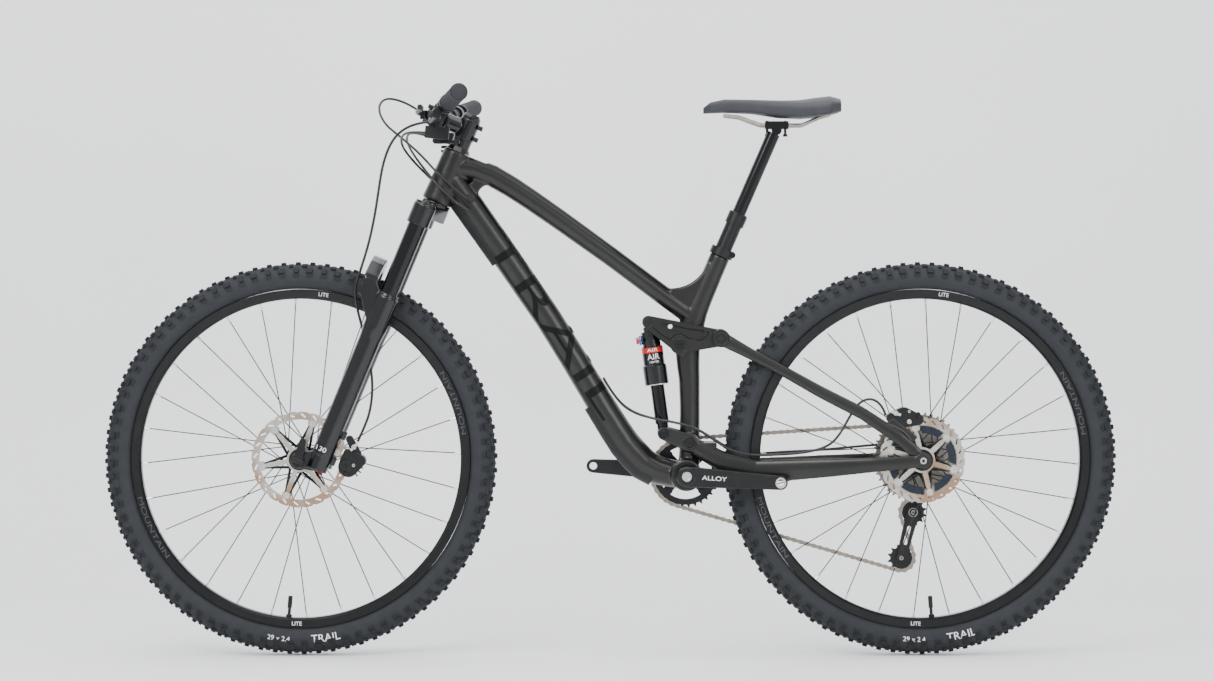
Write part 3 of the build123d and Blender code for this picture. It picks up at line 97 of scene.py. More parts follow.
def surface(
    name, color, rough=0.5, metal=0.0, scale=40.0, vary=0.12, bump=0.0, coat=0.0, rough_vary=0.06,
    tint=None, tint_scale=3.0, grain_scale=None, gleam=0.3,
):
    """Procedural finish: a base colour broken up by noise, with uneven roughness and a fine surface."""
    material = bpy.data.materials.new(name)
    material.use_nodes = True
    tree = material.node_tree
    shader = tree.nodes["Principled BSDF"]
    place = add_node(tree, "TexCoord")
    noise = add_node(tree, "TexNoise", Scale=scale, Detail=5)
    tree.links.new(place.outputs["Object"], noise.inputs["Vector"])
    ramp = add_node(tree, "ValToRGB")
    ramp.color_ramp.elements[0].position = 0.3
    ramp.color_ramp.elements[1].position = 0.7
    ramp.color_ramp.elements[0].color = [c * (1 - vary) for c in color] + [1]
    ramp.color_ramp.elements[1].color = [min(1, c * (1 + vary)) for c in color] + [1]
    tree.links.new(noise.outputs["Fac"], ramp.inputs["Fac"])
    shade = ramp.outputs["Color"]
    if tint is not None:
        patches = add_node(tree, "TexNoise", Scale=tint_scale)
        tree.links.new(place.outputs["Object"], patches.inputs["Vector"])
        spread = add_node(tree, "MapRange", From_Min=0.45, From_Max=0.62)
        tree.links.new(patches.outputs["Fac"], spread.inputs["Value"])
        mix = add_node(tree, "Mix")
        mix.data_type = "RGBA"
        mix.inputs[7].default_value = list(tint) + [1]
        tree.links.new(spread.outputs["Result"], mix.inputs[0])
        tree.links.new(shade, mix.inputs[6])
        shade = mix.outputs[2]
    tree.links.new(shade, shader.inputs["Base Color"])
    low, high = max(least_rough, rough - rough_vary), min(1, rough + rough_vary)
    uneven = add_node(tree, "MapRange", To_Min=low, To_Max=high)
    tree.links.new(noise.outputs["Fac"], uneven.inputs["Value"])
    tree.links.new(uneven.outputs["Result"], shader.inputs["Roughness"])
    shader.inputs["Metallic"].default_value = metal
    shader.inputs["Coat Weight"].default_value = coat
    shader.inputs["Coat Roughness"].default_value = coat_rough
    shader.inputs["Specular IOR Level"].default_value = gleam
    if bump > 0:
        grain = add_node(tree, "TexNoise", Scale=grain_scale or scale * 12, Detail=4)
        tree.links.new(place.outputs["Object"], grain.inputs["Vector"])
        relief = add_node(tree, "Bump", Strength=bump, Distance=grain_depth)
        tree.links.new(grain.outputs["Fac"], relief.inputs["Height"])
        tree.links.new(relief.outputs["Normal"], shader.inputs["Normal"])
    return material


# colour, roughness, metal, noise scale, colour change, bump, coat and roughness change of the frame's paint
frame_paint = ((0.030, 0.031, 0.0285), 0.30, 0.75, 6, 0.10, 0.05, 0.12, 0.04)
finish = {
    "frame": surface("frame satin", *frame_paint, grain_scale=900),
    "graphic": surface(
        "frame graphic", (0.0022, 0.0023, 0.0025), 0.40, 0.0, 10, 0.10, 0.0, 0.0, 0.03, gleam=0.15,
    ),
    "guard": surface("guard", (0.010, 0.0105, 0.011), 0.60, 0.0, 60, 0.10, 0.25),
    "black": surface("black anodised", (0.0055, 0.0058, 0.0065), 0.34, 0.3, 70, 0.15, 0.08, gleam=0.45),
    "dull": surface("dull black", (0.0060, 0.0064, 0.0072), 0.52, 0.0, 80, 0.15, 0.2),
    "cap": surface("glossy hardware", (0.0045, 0.0047, 0.0052), 0.18, 0.4, 90, 0.15, 0.05, 0.3, gleam=0.5),
    "gloss": surface(
        "gloss black", (0.0040, 0.0042, 0.0048), 0.20, 0.2, 20, 0.12, 0.0, 0.25, 0.04, gleam=0.45,
    ),
    "stanchion": surface(
        "stanchion", (0.0040, 0.0040, 0.0046), 0.12, 0.5, 20, 0.1, 0.0, 0.2, 0.02, gleam=0.45,
    ),
    "silver": surface("silver", (0.62, 0.61, 0.58), 0.28, 1.0, 120, 0.10, 0.1),
    "steel": surface("steel", (0.30, 0.28, 0.25), 0.33, 1.0, 160, 0.22, 0.15),
    "rotor": surface(
        "rotor steel", (0.56, 0.53, 0.47), 0.27, 1.0, 90, 0.08, 0.1, tint=(0.40, 0.26, 0.17), tint_scale=14,
    ),
    "carrier": surface("rotor carrier", (0.010, 0.014, 0.0135), 0.36, 0.5, 80, 0.15, 0.1),
    "fins": surface("rotor fins", (0.018, 0.024, 0.034), 0.40, 0.5, 80, 0.15, 0.1),
    "spoke": surface("spoke black", (0.006, 0.006, 0.0065), 0.34, 0.3, 100, 0.1),
    "tyre": surface("tyre rubber", (0.0175, 0.0195, 0.0225), 0.70, 0.0, 45, 0.16, 0.35, grain_scale=1400),
    "knob": surface("tread rubber", (0.0115, 0.0130, 0.0150), 0.76, 0.0, 80, 0.20, 0.45, grain_scale=1200),
    "mark": surface("tyre mark", (0.80, 0.80, 0.80), 0.6, 0.0, 200, 0.06, 0.1),
    "rim": surface("rim", (0.0045, 0.0048, 0.0055), 0.34, 0.2, 50, 0.12, 0.08, 0.1),
    "rim mark": surface("rim mark", (0.055, 0.058, 0.062), 0.40, 0.2, 50, 0.12, 0.08),
    "saddle": surface(
        "saddle cover", (0.0260, 0.0280, 0.0330), 0.50, 0.0, 60, 0.12, 0.30, grain_scale=900, gleam=0.4,
    ),
    "grip": surface("grip rubber", (0.0170, 0.0190, 0.0225), 0.62, 0.0, 90, 0.12, 0.4, grain_scale=1100),
    "hose": surface("hose", (0.0045, 0.0045, 0.0050), 0.36, 0.0, 90, 0.10, gleam=0.5),
    "red": surface("red", (0.50, 0.018, 0.014), 0.35, 0.1, 60, 0.10),
    "red metal": surface("red anodised", (0.55, 0.035, 0.03), 0.28, 0.9, 60, 0.12),
    "blue metal": surface("blue anodised", (0.05, 0.16, 0.50), 0.28, 0.9, 60, 0.12),
    "white": surface("white", (0.80, 0.80, 0.79), 0.5, 0.0, 60, 0.05),
    "chain": surface("chain steel", (0.27, 0.245, 0.20), 0.32, 1.0, 300, 0.25, 0.1),
}


# where the gloss black fades in: how far a face looks up, and its height
gloss_fades = (("Normal", 0.30, 0.62), ("Object", 0.60, 0.64))


def add_gloss_top(material, dark, rough):
    """Gloss black on the frame's upward faces above the rocker, fading into the satin sides."""
    tree = material.node_tree
    shader = tree.nodes["Principled BSDF"]
    place = add_node(tree, "TexCoord")
    masks = []
    for output, low, high in gloss_fades:
        split = add_node(tree, "SeparateXYZ")
        tree.links.new(place.outputs[output], split.inputs["Vector"])
        spread = add_node(tree, "MapRange", From_Min=low, From_Max=high)
        tree.links.new(split.outputs["Z"], spread.inputs["Value"])
        masks.append(spread)
    both = add_node(tree, "Math")
    both.operation = "MULTIPLY"
    tree.links.new(masks[0].outputs["Result"], both.inputs[0])
    tree.links.new(masks[1].outputs["Result"], both.inputs[1])
    paint = add_node(tree, "Mix")
    paint.data_type = "RGBA"
    tree.links.new(both.outputs["Value"], paint.inputs[0])
    tree.links.new(shader.inputs["Base Color"].links[0].from_socket, paint.inputs[6])
    paint.inputs[7].default_value = list(dark) + [1]
    tree.links.new(paint.outputs[2], shader.inputs["Base Color"])
    gloss = add_node(tree, "Mix")
    tree.links.new(both.outputs["Value"], gloss.inputs[0])
    tree.links.new(shader.inputs["Roughness"].links[0].from_socket, gloss.inputs[2])
    gloss.inputs[3].default_value = rough
    tree.links.new(gloss.outputs[0], shader.inputs["Roughness"])
    return material


finish["main frame"] = add_gloss_top(
    surface("main frame satin", *frame_paint, grain_scale=900), (0.0035, 0.0036, 0.0040), 0.10,
)

looks = {
    "frame": ("main_frame", "chainstay", "seatstay", "rocker"),
    "guard": ("frame_guards",),
    "silver": ("rear_axle",),
    "cap": ("frame_bearings", "stem_hardware"),
    "black": (
        "seat_clamp", "dropper_outer", "front_hub", "rear_hub", "front_axle", "front_axle_lever",
        "front_caliper", "rear_caliper", "stem", "brake_masters", "brake_lever_left", "brake_lever_right",
        "crank_arm_left", "crank_arm_right", "chainring", "derailleur_cage", "derailleur_body",
    ),
    "dull": ("shift_pods", "shift_lever", "release_lever", "dropper_lever", "guide_pulley", "tension_pulley",
             "handlebar", "front_valve", "rear_valve"),
    "gloss": ("fork_crown", "fork_lowers", "shock_can"),
    "stanchion": ("stanchions", "dropper_inner", "shock_shaft"),
    "steel": ("cassette", "saddle_rails"),
    "chain": ("chain",),
    "rotor": ("front_rotor", "rear_rotor"),
    "spoke": ("front_spokes", "rear_spokes"),
    "tyre": ("front_tyre", "rear_tyre"),
    "rim": ("front_rim", "rear_rim"),
    "saddle": ("saddle",),
    "grip": ("grips",),
    "hose": ("front_brake_hose", "bar_hoses", "rear_hoses"),
    "red metal": ("rebound_knob", "shock_knob"),
    "blue metal": ("compression_dial", "shock_lever"),
}
for look, members in looks.items():
    for member in members:
        nodes[member].data.materials.clear()
        nodes[member].data.materials.append(finish[look])


# ---------------------------------------------------------------- mesh helpers
def smooth_shade(mesh):
    """Soft shading over the whole mesh."""
    mesh.polygons.foreach_set("use_smooth", [True] * len(mesh.polygons))


def piece(name, points, faces, look, smooth=False):
    """A mesh object from points and faces, with its finish."""
    mesh = bpy.data.meshes.new(name)
    mesh.from_pydata([tuple(p) for p in points], [], [tuple(f) for f in faces])
    mesh.update()
    mesh.materials.append(finish[look])
    if smooth:
        smooth_shade(mesh)
    return show(name, mesh)


class Shape:
    """Points and faces gathered for one piece."""

    def __init__(self):
        self.points = []
        self.faces = []

    def add(self, points, faces):
        """More points and faces, the faces counted from the first new point."""
        base = len(self.points)
        self.points.extend(Vector(p) for p in points)
        self.faces.extend([tuple(base + i for i in face) for face in faces])

    def block(self, corners):
        """A block from its eight corners, the lower four and then the upper four."""
        walls = [(i, (i + 1) % 4, (i + 1) % 4 + 4, i + 4) for i in range(4)]
        self.add(corners, [(3, 2, 1, 0), (4, 5, 6, 7)] + walls)

    def slab(self, low_ring, high_ring):
        """A closed solid between two outlines of the same number of points."""
        size = len(low_ring)
        faces = [(i, (i + 1) % size, size + (i + 1) % size, size + i) for i in range(size)]
        faces += [tuple(reversed(range(size))), tuple(range(size, 2 * size))]
        self.add(low_ring + high_ring, faces)

    def rod(self, start, end, radius, sides=12, end_radius=None):
        """A round bar with closed ends."""
        start, end = Vector(start), Vector(end)
        run = (end - start).normalized()
        side = run.orthogonal().normalized()
        up = run.cross(side)
        rings = []
        for spot, size in ((start, radius), (end, radius if end_radius is None else end_radius)):
            turns = [2 * pi * step / sides for step in range(sides)]
            rings.append([spot + side * cos(turn) * size + up * sin(turn) * size for turn in turns])
        self.slab(rings[0], rings[1])

    def turned(self, centre, axis, profile, steps=64):
        """A shape turned about an axis: the profile lists (distance along the axis, radius)."""
        axis = Vector(axis).normalized()
        side = axis.orthogonal().normalized()
        up = axis.cross(side)
        count = len(profile)
        points = []
        for step in range(steps):
            turn = 2 * pi * step / steps
            out = side * cos(turn) + up * sin(turn)
            points += [Vector(centre) + axis * along + out * radius for along, radius in profile]
        faces = []
        for step in range(steps):
            for spot in range(count - 1):
                here = step * count + spot
                after = ((step + 1) % steps) * count + spot
                faces.append((here, after, after + 1, here + 1))
        self.add(points, faces)

    def make(self, name, look, body=None, smooth=False):
        """The piece itself, riding on its body."""
        made = piece(name, self.points, self.faces, look, smooth)
        if body:
            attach(made, body)
        return made


def tube(name, points, radius, look):
    """A bent tube along a smooth line through given points, as a mesh."""
    curve = bpy.data.curves.new(name, "CURVE")
    curve.dimensions = "3D"
    line = curve.splines.new("NURBS")
    line.points.add(len(points) - 1)
    for spot, point in zip(line.points, points):
        spot.co = (*point, 1)
    line.order_u = 3
    line.use_endpoint_u = True
    line.resolution_u = 10
    curve.bevel_depth = radius
    curve.bevel_resolution = 4
    curve.use_fill_caps = True
    holder = show(name + "_line", curve)
    bpy.context.view_layer.update()
    mesh = bpy.data.meshes.new_from_object(holder)
    mesh.name = name
    bpy.data.objects.remove(holder)
    mesh.materials.clear()
    mesh.materials.append(finish[look])
    smooth_shade(mesh)
    return show(name, mesh)


def around(axle, radius, angle, y):
    """A point on a wheel, the angle measured from straight back, upward."""
    return Vector((axle.x + radius * cos(angle), y, axle.z + radius * sin(angle)))


# ---------------------------------------------------------------- camera, light and backdrop
camera_data = bpy.data.cameras.new("camera")
camera = show("camera", camera_data)
camera_data.sensor_width = 36
camera_data.lens = 110.5
view_x = -0.0066
camera.location = (view_x, -7.0, 0.76)
aim = Vector((view_x, 0, 0.5916))
camera.rotation_euler = (aim - camera.location).to_track_quat("-Z", "Y").to_euler()
bpy.context.scene.camera = camera

world = bpy.data.worlds.new("studio")
bpy.context.scene.world = world
world.use_nodes = True
world.node_tree.nodes["Background"].inputs["Color"].default_value = (0.93, 0.95, 1.0, 1)
world.node_tree.nodes["Background"].inputs["Strength"].default_value = 1.0


def studio_light(name, place, target, width, height, power):
    """A soft box at a place, turned towards its target."""
    data = bpy.data.lights.new(name, "AREA")
    data.shape = "RECTANGLE"
    data.size = width
    data.size_y = height
    data.energy = power
    lamp = show(name, data)
    lamp.location = place
    lamp.rotation_euler = (Vector(target) - Vector(place)).to_track_quat("-Z", "Y").to_euler()


studio_light("key", (-1.6, -3.2, 3.0), (0, 0, 0.5), 2.6, 1.6, 130)
studio_light("fill", (2.4, -3.4, 1.8), (0, 0, 0.5), 2.0, 2.0, 60)
studio_light("top", (0, -0.4, 3.4), (0, 0, 0.4), 4.0, 2.4, 90)
studio_light("rim", (0.8, 2.6, 2.4), (0, 0, 0.6), 3.0, 1.2, 60)

def make_one_sided(material):
    """A backdrop that is clear from behind, so that it never hides the object in a view from the back."""
    tree = material.node_tree
    facing = add_node(tree, "NewGeometry")
    clear = add_node(tree, "BsdfTransparent")
    choice = add_node(tree, "MixShader")
    tree.links.new(facing.outputs["Backfacing"], choice.inputs[0])
    tree.links.new(tree.nodes["Principled BSDF"].outputs["BSDF"], choice.inputs[1])
    tree.links.new(clear.outputs["BSDF"], choice.inputs[2])
    tree.links.new(choice.outputs["Shader"], tree.nodes["Material Output"].inputs["Surface"])


floor_paint = surface("floor", (0.90, 0.905, 0.91), 0.55, 0.0, 2.0, 0.015, 0.0)
make_one_sided(floor_paint)
backdrop = bpy.data.meshes.new("backdrop")
bend = []
near_edge, depth, reach, lift, bend_radius = -9.0, 1.1, 6.0, 5.0, 0.5
profile = [(near_edge, 0.0)]
for turn in np.linspace(0, pi / 2, 12):
    profile.append((depth + bend_radius * sin(turn), bend_radius - bend_radius * cos(turn)))
profile.append((depth + bend_radius, lift))
for y, z in profile:
    bend += [(-reach, y, z), (reach, y, z)]
strips = [(2 * i, 2 * i + 1, 2 * i + 3, 2 * i + 2) for i in range(len(profile) - 1)]
backdrop.from_pydata(bend, [], strips)
smooth_shade(backdrop)
backdrop.materials.append(floor_paint)
show("backdrop", backdrop)


# ---------------------------------------------------------------- tyres
section_radius = 0.0285
section_centre = tyre_radius - 0.0335
pitches = 84
knob_root = -0.0012
knob_taper = 0.10
# lean of a knob's inner and outer edge, its shift and length in pitches, and its height
knob_rows = (
    (0.06, 0.30, 0.00, 0.36, 0.0042),
    (-0.30, -0.06, 0.00, 0.36, 0.0042),
    (0.42, 0.70, 0.50, 0.34, 0.0040),
    (-0.70, -0.42, 0.50, 0.34, 0.0040),
    (0.80, 1.16, 0.08, 0.44, 0.0042),
    (-1.16, -0.80, 0.08, 0.44, 0.0042),
)
centre_lean = 0.4
shoulder_lean = 0.75


def tread_point(axle, angle, lean, height):
    """A point on the tyre: along the tread, across it by a lean angle, and above the casing."""
    out = section_radius + height
    return around(axle, section_centre + out * cos(lean), angle, out * sin(lean))


def make_casing(axle, name, body, node):
    """The tyre's round casing, from bead to bead."""
    section = []
    for lean in np.radians(np.linspace(-128, 128, 33)):
        section.append((section_radius * sin(lean), section_centre + section_radius * cos(lean)))
    hook = [(0.0150, rim_radius + 0.0012), (0.0110, rim_radius + 0.0006)]
    clear_of_rim = [spot for spot in section if spot[1] > rim_radius + 0.003]
    far_hook = [(-y, radius) for y, radius in reversed(hook)]
    casing = Shape()
    casing.turned((axle.x, 0, axle.z), (0, 1, 0), far_hook + clear_of_rim + hook, 180)
    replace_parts(casing.make(name, "tyre", body, True), node)


def make_tread(axle, name, body):
    """Six rows of knobs, every second one shorter, and low ribs on both shoulders."""
    tread = Shape()
    step = 2 * pi / pitches
    for number in range(pitches):
        for inner, outer, shift, length, height in knob_rows:
            short = number % 2 == 1
            narrow = 0.72 if short and abs(inner) > centre_lean else 1.0
            start = (number + shift) * step
            end = start + length * step * (1.0 if abs(inner) < centre_lean else narrow * 1.15)
            outer_lean = outer * 0.94 if short and abs(inner) >= shoulder_lean else outer
            corners = []
            for lift_up, inset in ((knob_root, 0.0), (height, knob_taper)):
                cut = (end - start) * inset
                narrow_lean = (outer_lean - inner) * inset
                for angle, lean in (
                    (start + cut, inner + narrow_lean), (end - cut, inner + narrow_lean),
                    (end - cut, outer_lean - narrow_lean), (start + cut, outer_lean - narrow_lean),
                ):
                    corners.append(tread_point(axle, angle, lean, lift_up))
            tread.block(corners)
    for side in (left, right):
        for number in range(pitches):
            start = number * step
            corners = []
            for lift_up in (-0.0008, 0.0009):
                for angle, lean in (
                    (start, side * 1.22), (start + 0.55 * step, side * 1.22),
                    (start + 0.50 * step, side * 1.42), (start + 0.05 * step, side * 1.42),
                ):
                    corners.append(tread_point(axle, angle, lean, lift_up))
            tread.block(corners)
    tread.make(name + "_tread", "knob", body)


for wheel, axle in (("front", front_axle), ("rear", rear_axle)):
    make_casing(axle, wheel + "_tyre_casing", wheel + "_wheel", wheel + "_tyre")
    make_tread(axle, wheel + "_tyre_casing", wheel + "_wheel")


# ---------------------------------------------------------------- words bent onto arcs and tubes
def flat_word(text, size, fine=0.25):
    """Filled outline of a word as points and faces, its edges at most about fine times the size."""
    curve = bpy.data.curves.new("word", "FONT")
    curve.body = text
    curve.size = size
    curve.align_x = "CENTER"
    curve.align_y = "CENTER"
    holder = show("word", curve)
    bpy.context.view_layer.update()
    mesh = bpy.data.meshes.new_from_object(holder)
    bpy.data.objects.remove(holder)
    work = bmesh.new()
    work.from_mesh(mesh)
    bmesh.ops.triangulate(work, faces=work.faces[:])
    for _ in range(6):
        long_edges = [edge for edge in work.edges if edge.calc_length() > size * fine]
        if long_edges:
            bmesh.ops.subdivide_edges(work, edges=long_edges, cuts=1, use_grid_fill=False)
            bmesh.ops.triangulate(work, faces=work.faces[:])
    points = [vertex.co.copy() for vertex in work.verts]
    faces = [tuple(vertex.index for vertex in face.verts) for face in work.faces]
    work.free()
    return points, faces


def arc_word(name, text, axle, radius, angle, size, body, look, surface_y, stretch=1.0, upright=True):
    """A word written along an arc on a wheel's left side."""
    points, faces = flat_word(text, size)
    flip = -1 if upright else 1
    bent = []
    for point in points:
        out = radius + flip * point.y
        turn = angle - flip * point.x * stretch / radius
        bent.append(around(axle, out, turn, surface_y(out)))
    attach(piece(name, bent, faces, look), body)


def tyre_side(out):
    """Y of the tyre's left wall at a radius, just proud of it."""
    rise = np.clip((out - section_centre) / section_radius, -0.98, 0.98)
    return -section_radius * cos(asin(rise)) - 0.0006


tyre_word_radius = 0.339
for wheel, axle, word_turn, size_turn in (("front", front_axle, -82, -97), ("rear", rear_axle, -77, -92)):
    for part, text, turn, size in (
        ("word", "TRAIL", word_turn, 0.021), ("size", "29 x 2.4", size_turn, 0.013),
    ):
        arc_word(f"{wheel}_tyre_{part}", text, axle, tyre_word_radius, radians(turn), size, wheel + "_wheel",
                 "mark", tyre_side)


# ---------------------------------------------------------------- spoke nipples
spoke_end_depth = 0.0195
nipple_length = 0.011


def make_nipples(node, name, body, axle):
    """A nipple at the rim end of every spoke, found from the spokes' own ends."""
    groups = {}
    for vertex in nodes[node].data.vertices:
        spot = vertex.co.copy()
        if hypot(spot.x - axle.x, spot.z - axle.z) > rim_radius - spoke_end_depth:
            key = round(degrees(atan2(spot.z - axle.z, spot.x - axle.x)) / 3)
            groups.setdefault(key, []).append(spot)
    nipples = Shape()
    for spots in groups.values():
        tip = sum(spots, Vector()) / len(spots)
        inward = Vector((axle.x - tip.x, 0, axle.z - tip.z)).normalized()
        nipples.rod(tip, tip + inward * nipple_length, 0.0021, 8, 0.0018)
    nipples.make(name, "silver", body)


for wheel, axle in (("front", front_axle), ("rear", rear_axle)):
    make_nipples(wheel + "_spokes", wheel + "_nipples", wheel + "_wheel", axle)


# ---------------------------------------------------------------- saddle
saddle_low, saddle_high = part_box("saddle")
saddle_gap = 0.002
saddle_run = saddle_high.x - saddle_low.x - 2 * saddle_gap
saddle_stops = (0, 0.05, 0.15, 0.35, 0.55, 0.70, 0.82, 0.92, 1.0)
saddle_half_widths = (0.006, 0.0155, 0.021, 0.026, 0.037, 0.053, 0.067, 0.070, 0.052)
saddle_tops = (1.028, 1.0385, 1.0440, 1.0440, 1.0425, 1.0430, 1.0475, 1.0505, 1.045)
saddle_depths = (0.011, 0.021, 0.0255, 0.0275, 0.0335, 0.0345, 0.0345, 0.0330, 0.024)
crown_share = 0.30
side_drop = 0.012
widest = 0.07
groove_depth, groove_width = 0.0035, 0.008


def saddle_shape(share):
    """Half width, top height and depth of the saddle at a share of its length, from the nose."""
    sizes = (saddle_half_widths, saddle_tops, saddle_depths)
    return [np.interp(share, saddle_stops, size) for size in sizes]


def make_saddle():
    """A crowned cover over the saddle's shell, with a shallow groove along its middle."""
    lengthwise, across = 56, 40
    points = []
    for i in range(lengthwise):
        share = 0.5 - 0.5 * cos(pi * i / (lengthwise - 1))
        half, top, thick = saddle_shape(share)
        x = saddle_low.x + saddle_gap + saddle_run * share
        for j in range(across):
            turn = 2 * pi * j / across
            y = half * np.sign(cos(turn)) * abs(cos(turn)) ** 0.72
            rise = sin(turn)
            edge = top - thick * crown_share - side_drop * (y / widest) ** 2
            if rise >= 0:
                z = edge + thick * crown_share * rise**0.6
                groove = groove_depth * np.exp(-((y / groove_width) ** 2))
                z -= groove * np.clip((share - 0.25) * 6, 0, 1) * np.clip((0.92 - share) * 10, 0, 1)
            else:
                z = edge - thick * (1 - crown_share) * abs(rise) ** 0.5
            points.append((x, y, z))
    faces = []
    for i in range(lengthwise - 1):
        for j in range(across):
            a = i * across + j
            b = i * across + (j + 1) % across
            faces.append((a, b, b + across, a + across))
    faces.append(tuple(reversed(range(across))))
    faces.append(tuple(range((lengthwise - 1) * across, lengthwise * across)))
    cover = piece("saddle_cover", points, faces, "saddle", True)
    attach(cover, "saddle_assembly")
    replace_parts(cover, "saddle")


make_saddle()


# ---------------------------------------------------------------- grips
bar_half_width = 0.380
bar_middle = Vector((-0.324, 0, 1.0095))
bar_bend_at = 0.095
bar_sweep, bar_rise = 25 / 130, 15 / 130
grip_length = 0.128
grip_overhang = 0.004
rib_count = 22
rib_start = 0.010
rib_ends = 0.026
rib_low, rib_high = 0.0146, 0.0156


def bar_spot(side, reach):
    """A point on the handlebar's middle line."""
    out = max(reach - bar_bend_at, 0)
    return bar_middle + Vector((out * bar_sweep, side * reach, out * bar_rise))


def make_grips():
    """Ribbed rubber sleeves with closed ends, and a metal ring at the inner end of each."""
    for side, name in ((left, "left"), (right, "right")):
        inner = bar_spot(side, bar_half_width - grip_length)
        outer = bar_spot(side, bar_half_width + grip_overhang)
        axis = (outer - inner).normalized()
        total = (outer - inner).length
        profile = [(0.0072, 0.0112), (0.0074, 0.0152)]
        width = (total - rib_ends) / rib_count
        for rib in range(rib_count):
            start = rib_start + rib * width
            profile += [
                (start, rib_low), (start + width * 0.15, rib_high), (start + width * 0.7, rib_high),
                (start + width * 0.85, rib_low),
            ]
        for before_end, radius in (
            (0.0135, 0.0158), (0.0070, 0.0162), (0.0045, 0.0158), (0.0040, 0.0150), (0.0008, 0.0146),
            (0.0002, 0.0125), (0.0, 0.0),
        ):
            profile.append((total - before_end, radius))
        sleeve = Shape()
        sleeve.turned(inner, axis, profile, 40)
        made = sleeve.make("grip_" + name, "grip", "steering", True)
        if side == left:
            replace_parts(made, "grips")
        ring = Shape()
        ring.turned(inner, axis, [
            (0.0, 0.0112), (0.0, 0.0160), (0.0006, 0.0165), (0.0064, 0.0165), (0.0070, 0.0160),
            (0.0070, 0.0112),
        ], 40)
        ring.make("grip_ring_" + name, "black", "steering")


make_grips()


# ---------------------------------------------------------------- chain, link by link
chain_pitch = 0.0127
ring_teeth, cog_teeth, pulley_teeth = 32, 32, 12
plate_radius, plate_waist, plate_half = 0.0042, 0.0027, 0.0004
outer_plate_y, inner_plate_y = 0.0027, 0.0018
bb_axis = Vector((0.142, 0, 0.340))


def wheel_radius(teeth):
    """Radius of the circle that the chain's pins lie on."""
    return chain_pitch / (2 * sin(pi / teeth))


def tangent(first, first_radius, second, second_radius, crossed, upper):
    """Ends of a straight chain run between two wheels, in the side view."""
    gap = Vector((second.x - first.x, second.z - first.z))
    spread = first_radius + second_radius if crossed else first_radius - second_radius
    away = atan2(gap.y, gap.x) + np.arccos(spread / gap.length) * (1 if upper else -1)
    back = away + pi if crossed else away
    leave = (first.x + first_radius * cos(away), first.z + first_radius * sin(away))
    meet = (second.x + second_radius * cos(back), second.z + second_radius * sin(back))
    return leave, meet


def wrap(centre, radius, start, end, y, forward):
    """Points of the chain's line round a wheel, from start to end."""
    start_turn = atan2(start[1] - centre.z, start[0] - centre.x)
    end_turn = atan2(end[1] - centre.z, end[0] - centre.x)
    sweep = (end_turn - start_turn) % (2 * pi)
    if not forward:
        sweep -= 2 * pi
    points = []
    for step in np.linspace(0, 1, 60):
        turn = start_turn + sweep * step
        points.append(Vector((centre.x + radius * cos(turn), y, centre.z + radius * sin(turn))))
    return points


def chain_line():
    """The chain's closed line round the chainring, the sprocket and both pulleys."""
    guide, tension = middle("guide_pulley"), middle("tension_pulley")
    ring_y, cog_line = middle("chainring").y, guide.y
    ring, cog, small = wheel_radius(ring_teeth), wheel_radius(cog_teeth), wheel_radius(pulley_teeth)
    top = tangent(bb_axis, ring, rear_axle, cog, False, True)
    down = tangent(rear_axle, cog, guide, small, True, True)
    between = tangent(guide, small, tension, small, True, False)
    under = tangent(tension, small, bb_axis, ring, False, True)
    line = wrap(rear_axle, cog, top[1], down[0], cog_line, False)
    line += wrap(guide, small, down[1], between[0], cog_line, True)
    line += wrap(tension, small, between[1], under[0], cog_line, False)
    line += wrap(bb_axis, ring, under[1], top[0], ring_y, False)
    return line + [line[0]]


def link_outline(start, end, run, up):
    """Outline of a link's plate, round at both pins and narrower between them."""
    waist = (start + end) / 2
    outline = []
    for pin, first, last, across in ((start, 90, 270, -1), (end, -90, 90, 1)):
        for turn in np.radians(np.linspace(first, last, 7)):
            outline.append(pin + run * cos(turn) * plate_radius + up * sin(turn) * plate_radius)
        outline.append(waist + up * across * plate_waist)
    return outline


def make_chain():
    """The chain as single links, wide and narrow ones in turn."""
    spots = np.array([tuple(point) for point in chain_line()])
    lengths = np.concatenate([[0], np.cumsum(np.linalg.norm(np.diff(spots, axis=0), axis=1))])
    count = int(round(lengths[-1] / chain_pitch / 2)) * 2
    marks = np.linspace(0, lengths[-1], count + 1)
    pins = [Vector([np.interp(mark, lengths, spots[:, axis]) for axis in range(3)]) for mark in marks]
    side = Vector((0, 1, 0))
    links = Shape()
    for number in range(count):
        start, end = pins[number], pins[number + 1]
        run = (end - start).normalized()
        up = run.cross(side).normalized()
        outline = link_outline(start, end, run, up)
        offset = outer_plate_y if number % 2 else inner_plate_y
        for face_side in (left, right):
            low = side * (face_side * offset - plate_half)
            high = side * (face_side * offset + plate_half)
            links.slab([point + low for point in outline], [point + high for point in outline])
        links.rod(start - side * 0.0034, start + side * 0.0034, 0.0018, 8)
        links.rod(start - side * 0.0015, start + side * 0.0015, 0.0038, 10)
    made = links.make("chain_links", "chain")
    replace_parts(made, "chain")
    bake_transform(made)


make_chain()


